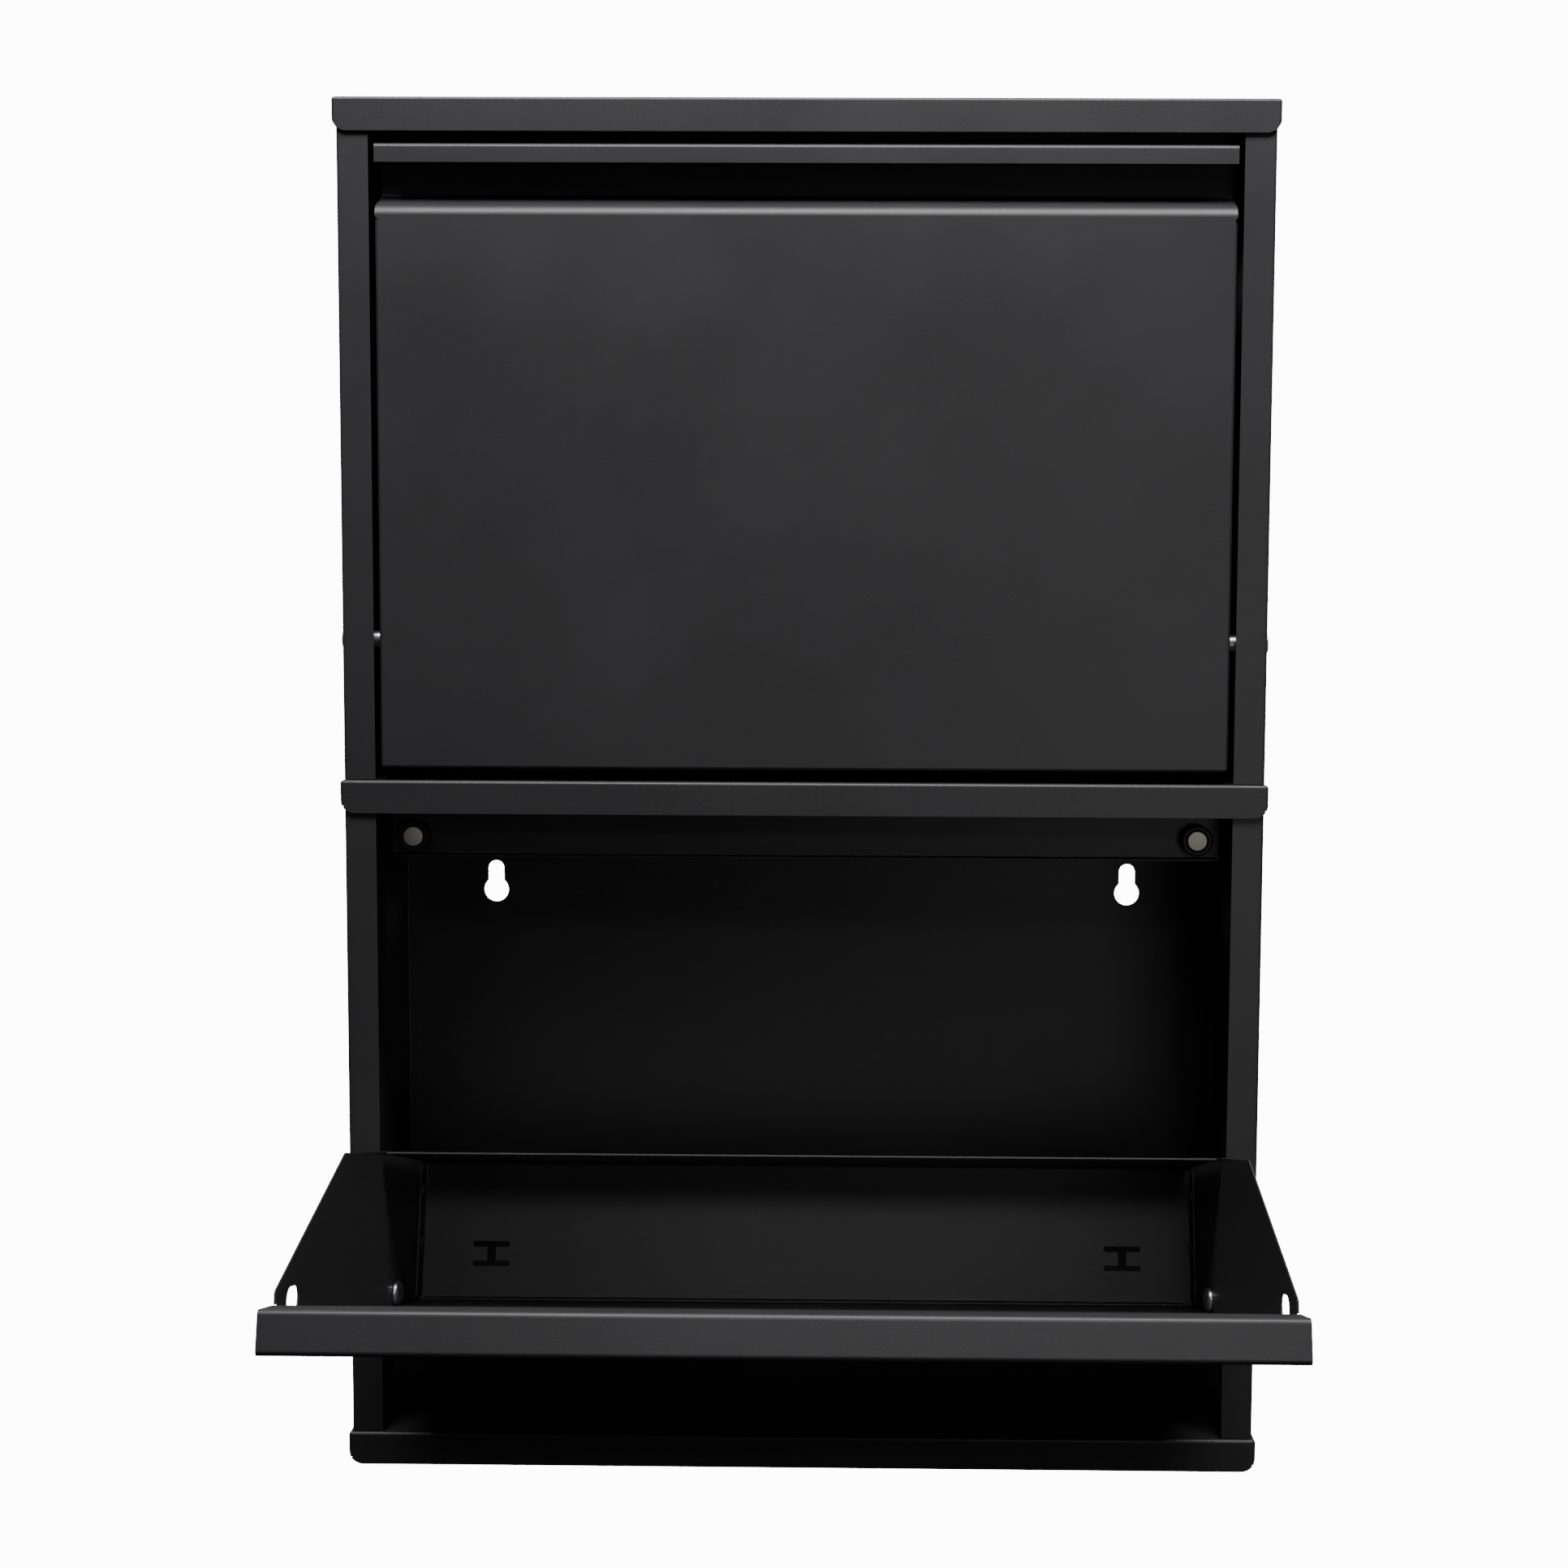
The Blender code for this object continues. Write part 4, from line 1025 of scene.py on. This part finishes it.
def fastener_tree(name, make_shape):
    """Geometry Nodes tree that puts one fastener, pointing along its turned Z, on each point.

    Named inputs: Head Radius, Head Height, Shank Radius, Shank Length, Material.
    """
    tree = bpy.data.node_groups.new(name, "GeometryNodeTree")
    add_socket(tree, "Geometry", "Geometry")
    for label in ("Head Radius", "Head Height", "Shank Radius", "Shank Length"):
        add_socket(tree, label, "Float")
    add_socket(tree, "Material", "Material")
    add_socket(tree, "Geometry", "Geometry", out=True)
    t = Tree(tree)
    ins = tree.nodes.new("NodeGroupInput").outputs
    outs = tree.nodes.new("NodeGroupOutput")
    turn = t.add("GeometryNodeInputNamedAttribute", data_type="FLOAT_VECTOR", Name="turn")
    instance = t.add("GeometryNodeInstanceOnPoints")
    t.join(ins["Geometry"], instance.inputs["Points"])
    t.join(make_shape(t, ins), instance.inputs["Instance"])
    t.join(turn.outputs["Attribute"], instance.inputs["Rotation"])
    realize = t.add("GeometryNodeRealizeInstances")
    t.join(instance.outputs["Instances"], realize.inputs["Geometry"])
    painted = t.add("GeometryNodeSetMaterial")
    t.join(realize.outputs["Geometry"], painted.inputs["Geometry"])
    t.join(ins["Material"], painted.inputs["Material"])
    t.join(painted.outputs["Geometry"], outs.inputs["Geometry"])
    return tree


def scaled(t, shape, width, height, level=None):
    """Shape of unit size, scaled across and along Z and moved along Z by sockets."""
    transform = t.add("GeometryNodeTransform")
    t.join(shape, transform.inputs["Geometry"])
    t.join(t.vector(X=width, Y=width, Z=height), transform.inputs["Scale"])
    if level is not None:
        t.join(t.vector(Z=level), transform.inputs["Translation"])
    return transform.outputs["Geometry"]


def ball(t, segments, rings, *placing):
    sphere = t.add("GeometryNodeMeshUVSphere", Segments=segments, Rings=rings, Radius=1.0)
    return scaled(t, sphere.outputs["Mesh"], *placing)


def shank(t, ins):
    """Rod that reaches down from the point."""
    rod = t.add("GeometryNodeMeshCylinder", Vertices=20, Radius=1.0, Depth=1.0)
    length = ins["Shank Length"]
    return scaled(t, rod.outputs["Mesh"], ins["Shank Radius"], length, t.maths("MULTIPLY", length, -0.5))


def joined(t, *parts):
    join = t.add("GeometryNodeJoinGeometry")
    for part in parts:
        t.join(part, join.inputs["Geometry"])
    return join.outputs["Geometry"]


def smoothed(t, shape):
    shade = t.add("GeometryNodeSetShadeSmooth")
    t.join(shape, shade.inputs["Geometry"])
    return shade.outputs["Geometry"]


def rivet_shape(t, ins):
    """Low dome on the point, a shank behind it and a small button at the shank's end."""
    head = ball(t, 24, 12, ins["Head Radius"], ins["Head Height"])
    tail = ball(t, 20, 10, t.maths("MULTIPLY", ins["Shank Radius"], 1.5),
                t.maths("MULTIPLY", ins["Head Height"], 0.6),
                t.maths("MULTIPLY", ins["Shank Length"], -1.0))
    return smoothed(t, joined(t, head, shank(t, ins), tail))


def screw_shape(t, ins):
    """Domed pan head with a cross recess on a plain shank."""
    radius, height = ins["Head Radius"], ins["Head Height"]
    arms = [t.add("GeometryNodeMeshCube", Size=size).outputs["Mesh"]
            for size in ((0.9, 0.22, 1.0), (0.22, 0.9, 1.0))]
    driven = t.add("GeometryNodeMeshBoolean", operation="DIFFERENCE", solver="EXACT")
    t.join(ball(t, 28, 14, radius, height), driven.inputs["Mesh 1"])
    t.join(scaled(t, joined(t, *arms), radius, height, height), driven.inputs["Mesh 2"])
    return joined(t, driven.outputs["Mesh"], shank(t, ins))


def weld_shape(t, ins):
    """Shallow lens left by a spot welder's electrode."""
    return smoothed(t, ball(t, 24, 8, ins["Head Radius"], ins["Head Height"]))


def scatter(name, spots, tree, values, finish, body, *nodes):
    """Fasteners at (place, direction) spots, made by a tree, turned plain and handed over."""
    mesh = bpy.data.meshes.new(name)
    mesh.from_pydata([place for place, _ in spots], [], [])
    attribute = mesh.attributes.new("turn", "FLOAT_VECTOR", "POINT")
    for item, (_, direction) in zip(attribute.data, spots):
        item.vector = direction.to_track_quat("Z", "Y").to_euler()
    piece = link(name, mesh)
    modifier = piece.modifiers.new("Fasteners", "NODES")
    modifier.node_group = tree
    values["Material"] = material_of(finish[0])
    for item in tree.interface.items_tree:
        if item.in_out == "INPUT" and item.name in values:
            modifier[item.identifier] = values[item.name]
    return hand_over(settle(piece), finish, body, *nodes)


# ---- operators ---------------------------------------------------------------------------

class CABINET_OT_caps(bpy.types.Operator):
    """Make the three caps"""

    bl_idname = "cabinet.caps"
    bl_label = "Caps"

    def execute(self, context):
        for name, module in (("base_cap", "lower"), ("middle_cap", "upper"), ("top_cap", None)):
            make_cap(name, module)
        return {"FINISHED"}


class CABINET_OT_side_panels(bpy.types.Operator):
    """Make the four side panels with their stiles"""

    bl_idname = "cabinet.side_panels"
    bl_label = "Side panels"

    def execute(self, context):
        for module in MODULES:
            for side_name, side in SIDES:
                make_side_panel(module, side_name, side)
        return {"FINISHED"}


class CABINET_OT_back_panels(bpy.types.Operator):
    """Make the two back panels with their keyholes"""

    bl_idname = "cabinet.back_panels"
    bl_label = "Back panels"

    def execute(self, context):
        for module in MODULES:
            make_back_panel(module)
        return {"FINISHED"}


class CABINET_OT_rails(bpy.types.Operator):
    """Make the magnet rails, cups and magnets"""

    bl_idname = "cabinet.rails"
    bl_label = "Magnet rails"

    def execute(self, context):
        for module in MODULES:
            make_rail(module)
            for side_name, _ in SIDES:
                make_magnet(module, side_name)
        return {"FINISHED"}


class CABINET_OT_pivots(bpy.types.Operator):
    """Make the pivot pins and their caps"""

    bl_idname = "cabinet.pivots"
    bl_label = "Pivots"

    def execute(self, context):
        for module in MODULES:
            for side_name, side in SIDES:
                make_pivot(module, side_name, side)
        return {"FINISHED"}


class CABINET_OT_bins(bpy.types.Operator):
    """Make the front panels, trays and wings of both bins"""

    bl_idname = "cabinet.bins"
    bl_label = "Bins"

    def execute(self, context):
        for module in MODULES:
            make_front_panel(module)
            make_tray(module)
            for side_name, side in SIDES:
                make_wing(module, side_name, side)
        return {"FINISHED"}


class CABINET_OT_rivets(bpy.types.Operator):
    """Set the rivets that join each tray to its wings"""

    bl_idname = "cabinet.rivets"
    bl_label = "Rivets"

    def execute(self, context):
        sheet, _, case = settings()
        tree = fastener_tree("rivet", rivet_shape)
        values = {"Head Radius": case.rivet_head, "Head Height": case.rivet_rise,
                  "Shank Radius": 1.9 * MM, "Shank Length": 2 * sheet.thickness + 3 * sheet.gap}
        for module in MODULES:
            hang = Hang(module)
            spots = []
            for side_name, side in SIDES:
                inside = min(abs(corner.x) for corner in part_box(f"upper_{side_name}_front_rivet"))
                for spot in rivet_spots():
                    place = hang.place @ Vector((side * (inside + case.rivet_rise), *spot))
                    spots.append((place, -X_AXIS * side))
            scatter(module + "_rivets", spots, tree, values, RIVET, hang.body, *rivet_nodes(module))
        return {"FINISHED"}


class CABINET_OT_screws(bpy.types.Operator):
    """Drive the screws that join the modules to the caps"""

    bl_idname = "cabinet.screws"
    bl_label = "Screws"

    def execute(self, context):
        case = context.scene.cabinet_case
        tree = fastener_tree("pan head screw", screw_shape)
        nodes = [node for module in MODULES for node in screw_nodes(module)]
        spots = []
        for node in nodes:
            place = centre_of(node)
            place.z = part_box(node)[1].z - case.screw_rise
            spots.append((place, Z_AXIS))
        values = {"Head Radius": case.screw_head, "Head Height": case.screw_rise,
                  "Shank Radius": 2 * MM, "Shank Length": 8 * MM}
        scatter("module_screws", spots, tree, values, ZINC, "cabinet", *nodes)
        return {"FINISHED"}


class CABINET_OT_weld_marks(bpy.types.Operator):
    """Leave the spot welder's marks on the back panels"""

    bl_idname = "cabinet.weld_marks"
    bl_label = "Weld marks"

    def execute(self, context):
        case = context.scene.cabinet_case
        tree = fastener_tree("spot weld mark", weld_shape)
        spots = []
        for module in MODULES:
            low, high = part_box(module + "_back_panel")
            for _, side in SIDES:
                for i in range(5):
                    level = low.z + (high.z - low.z) * (i + 0.5) / 5
                    spots.append((Vector((side * (high.x - case.flange / 2), high.y, level)), Y_AXIS))
        values = {"Head Radius": case.weld_mark, "Head Height": 0.09 * MM}
        scatter("weld_marks", spots, tree, values, COAT, "cabinet")
        return {"FINISHED"}


def make_sweep(material):
    """Floor well below the cabinet that curves up into a wall behind it."""
    level = CAD_BOX[0].z - 0.5
    radius, wall, reach, half = 0.9, 1.9, 6.0, 6.0
    profile = [(-reach, level)]
    for i in range(25):
        angle = math.pi / 2 * i / 24
        profile.append((wall - radius + radius * math.sin(angle), level + radius * (1 - math.cos(angle))))
    profile.append((wall, level + reach))
    verts = [(x, y, z) for y, z in profile for x in (-half, half)]
    faces = [(2 * i, 2 * i + 1, 2 * i + 3, 2 * i + 2) for i in range(len(profile) - 1)]
    mesh = bpy.data.meshes.new("studio_sweep")
    mesh.from_pydata(verts, [], faces)
    mesh.shade_smooth()
    mesh.materials.append(material)
    sweep = link("studio_sweep", mesh)
    sweep.visible_glossy = False
    sweep.visible_diffuse = False


def area_light(name, at, target, size, watts):
    data = bpy.data.lights.new(name, "AREA")
    data.shape = "RECTANGLE"
    data.size, data.size_y = size
    data.energy = watts
    light = bpy.data.objects.new(name, data)
    bpy.context.collection.objects.link(light)
    light.location = at
    light.rotation_euler = (Vector(target) - Vector(at)).to_track_quat("-Z", "Y").to_euler()
    return light


def make_world(studio):
    """Pale surround for the camera and a softer one, brighter overhead, on the object."""
    world = bpy.data.worlds.new("studio")
    bpy.context.scene.world = world
    world.use_nodes = True
    nodes = world.node_tree.nodes
    nodes.clear()
    t = Tree(world.node_tree)
    place = t.add("ShaderNodeTexCoord")
    split = t.add("ShaderNodeSeparateXYZ")
    t.join(place.outputs["Generated"], split.inputs["Vector"])
    height = t.add("ShaderNodeMapRange", From_Min=-0.35, From_Max=0.9, To_Min=0.02)
    t.join(split.outputs["Z"], height.inputs["Value"])
    soft = t.add("ShaderNodeBackground")
    t.join(t.maths("MULTIPLY", height.outputs["Result"], studio.sky), soft.inputs["Strength"])
    seen = t.add("ShaderNodeBackground", Strength=studio.backdrop)
    path = t.add("ShaderNodeLightPath")
    mix = t.add("ShaderNodeMixShader")
    t.join(path.outputs["Is Camera Ray"], mix.inputs["Fac"])
    t.join(soft.outputs["Background"], mix.inputs[1])
    t.join(seen.outputs["Background"], mix.inputs[2])
    out = t.add("ShaderNodeOutputWorld")
    t.join(mix.outputs["Shader"], out.inputs["Surface"])


class CABINET_OT_stage(bpy.types.Operator):
    """Set up the camera, the sweep and the lights"""

    bl_idname = "cabinet.stage"
    bl_label = "Stage"

    def execute(self, context):
        studio = context.scene.cabinet_studio
        data = bpy.data.cameras.new("camera")
        camera = bpy.data.objects.new("camera", data)
        context.collection.objects.link(camera)
        data.lens = studio.lens
        data.shift_x = studio.shift
        data.sensor_width = 36
        camera.location = studio.camera_at
        ahead = Vector((math.sin(studio.yaw) * math.cos(studio.pitch),
                        math.cos(studio.yaw) * math.cos(studio.pitch), math.sin(studio.pitch)))
        aim = ahead.to_track_quat("-Z", "Y").to_matrix().to_4x4()
        camera.rotation_euler = (aim @ Matrix.Rotation(studio.roll, 4, "Z")).to_euler()
        context.scene.camera = camera
        make_world(studio)
        finish = context.scene.cabinet_finish
        floor = coated("studio floor", finish.floor, finish.floor, 0.9, 0.02)
        shader = floor.node_tree.nodes["Principled BSDF"]
        shader.inputs["Emission Color"].default_value = (1, 1, 1, 1)
        shader.inputs["Emission Strength"].default_value = finish.floor_glow
        make_sweep(floor)
        low, high = CAD_BOX
        area_light("key", (0.05, low.y - 0.3, high.z + 0.95), (0, low.y + 0.2, high.z - 0.35), (1.6, 0.45),
                   studio.key_power)
        fill = area_light("fill", (0.1, low.y - 1.2, 0.25), (0, low.y, -0.56), (0.5, 0.2), studio.fill_power)
        fill.data.spread = studio.fill_spread
        for side_name, side in SIDES:
            area_light("rim_" + side_name, (side * 1.5, high.y + 1.1, 0.3), (side * 0.1, high.y, -0.3),
                       (1.0, 1.0), studio.rim_power)
        area_light("card", (0.5, low.y - 1.2, -0.4), (0.1, low.y, -0.35), (0.5, 0.5), studio.card_power)
        return {"FINISHED"}


class CABINET_PT_panel(bpy.types.Panel):
    """Sidebar panel with the cabinet's steps"""

    bl_label = "Wall cabinet"
    bl_idname = "CABINET_PT_panel"
    bl_space_type = "VIEW_3D"
    bl_region_type = "UI"
    bl_category = "Cabinet"

    def draw(self, context):
        for name in GROUPS:
            group = getattr(context.scene, name)
            box = self.layout.box()
            for key in group.__annotations__:
                box.prop(group, key)
        for operator in STEPS:
            self.layout.operator(operator.bl_idname)


GROUPS = {
    "cabinet_sheet": SheetSizes,
    "cabinet_bin": BinSizes,
    "cabinet_case": CabinetSizes,
    "cabinet_finish": Finishes,
    "cabinet_studio": Studio,
}
STEPS = (CABINET_OT_stage, CABINET_OT_caps, CABINET_OT_side_panels, CABINET_OT_back_panels,
         CABINET_OT_rails, CABINET_OT_pivots, CABINET_OT_bins, CABINET_OT_rivets, CABINET_OT_screws,
         CABINET_OT_weld_marks)


def register():
    for group in GROUPS.values():
        bpy.utils.register_class(group)
    for name, group in GROUPS.items():
        setattr(bpy.types.Scene, name, PointerProperty(type=group))
    for step in (*STEPS, CABINET_PT_panel):
        bpy.utils.register_class(step)


def unregister():
    for step in (CABINET_PT_panel, *STEPS[::-1]):
        bpy.utils.unregister_class(step)
    for name, group in GROUPS.items():
        delattr(bpy.types.Scene, name)
        bpy.utils.unregister_class(group)


def main():
    register()
    for step in STEPS:
        family, action = step.bl_idname.split(".")
        getattr(getattr(bpy.ops, family), action)()
    bpy.context.view_layer.update()


if __name__ == "__main__":
    main()
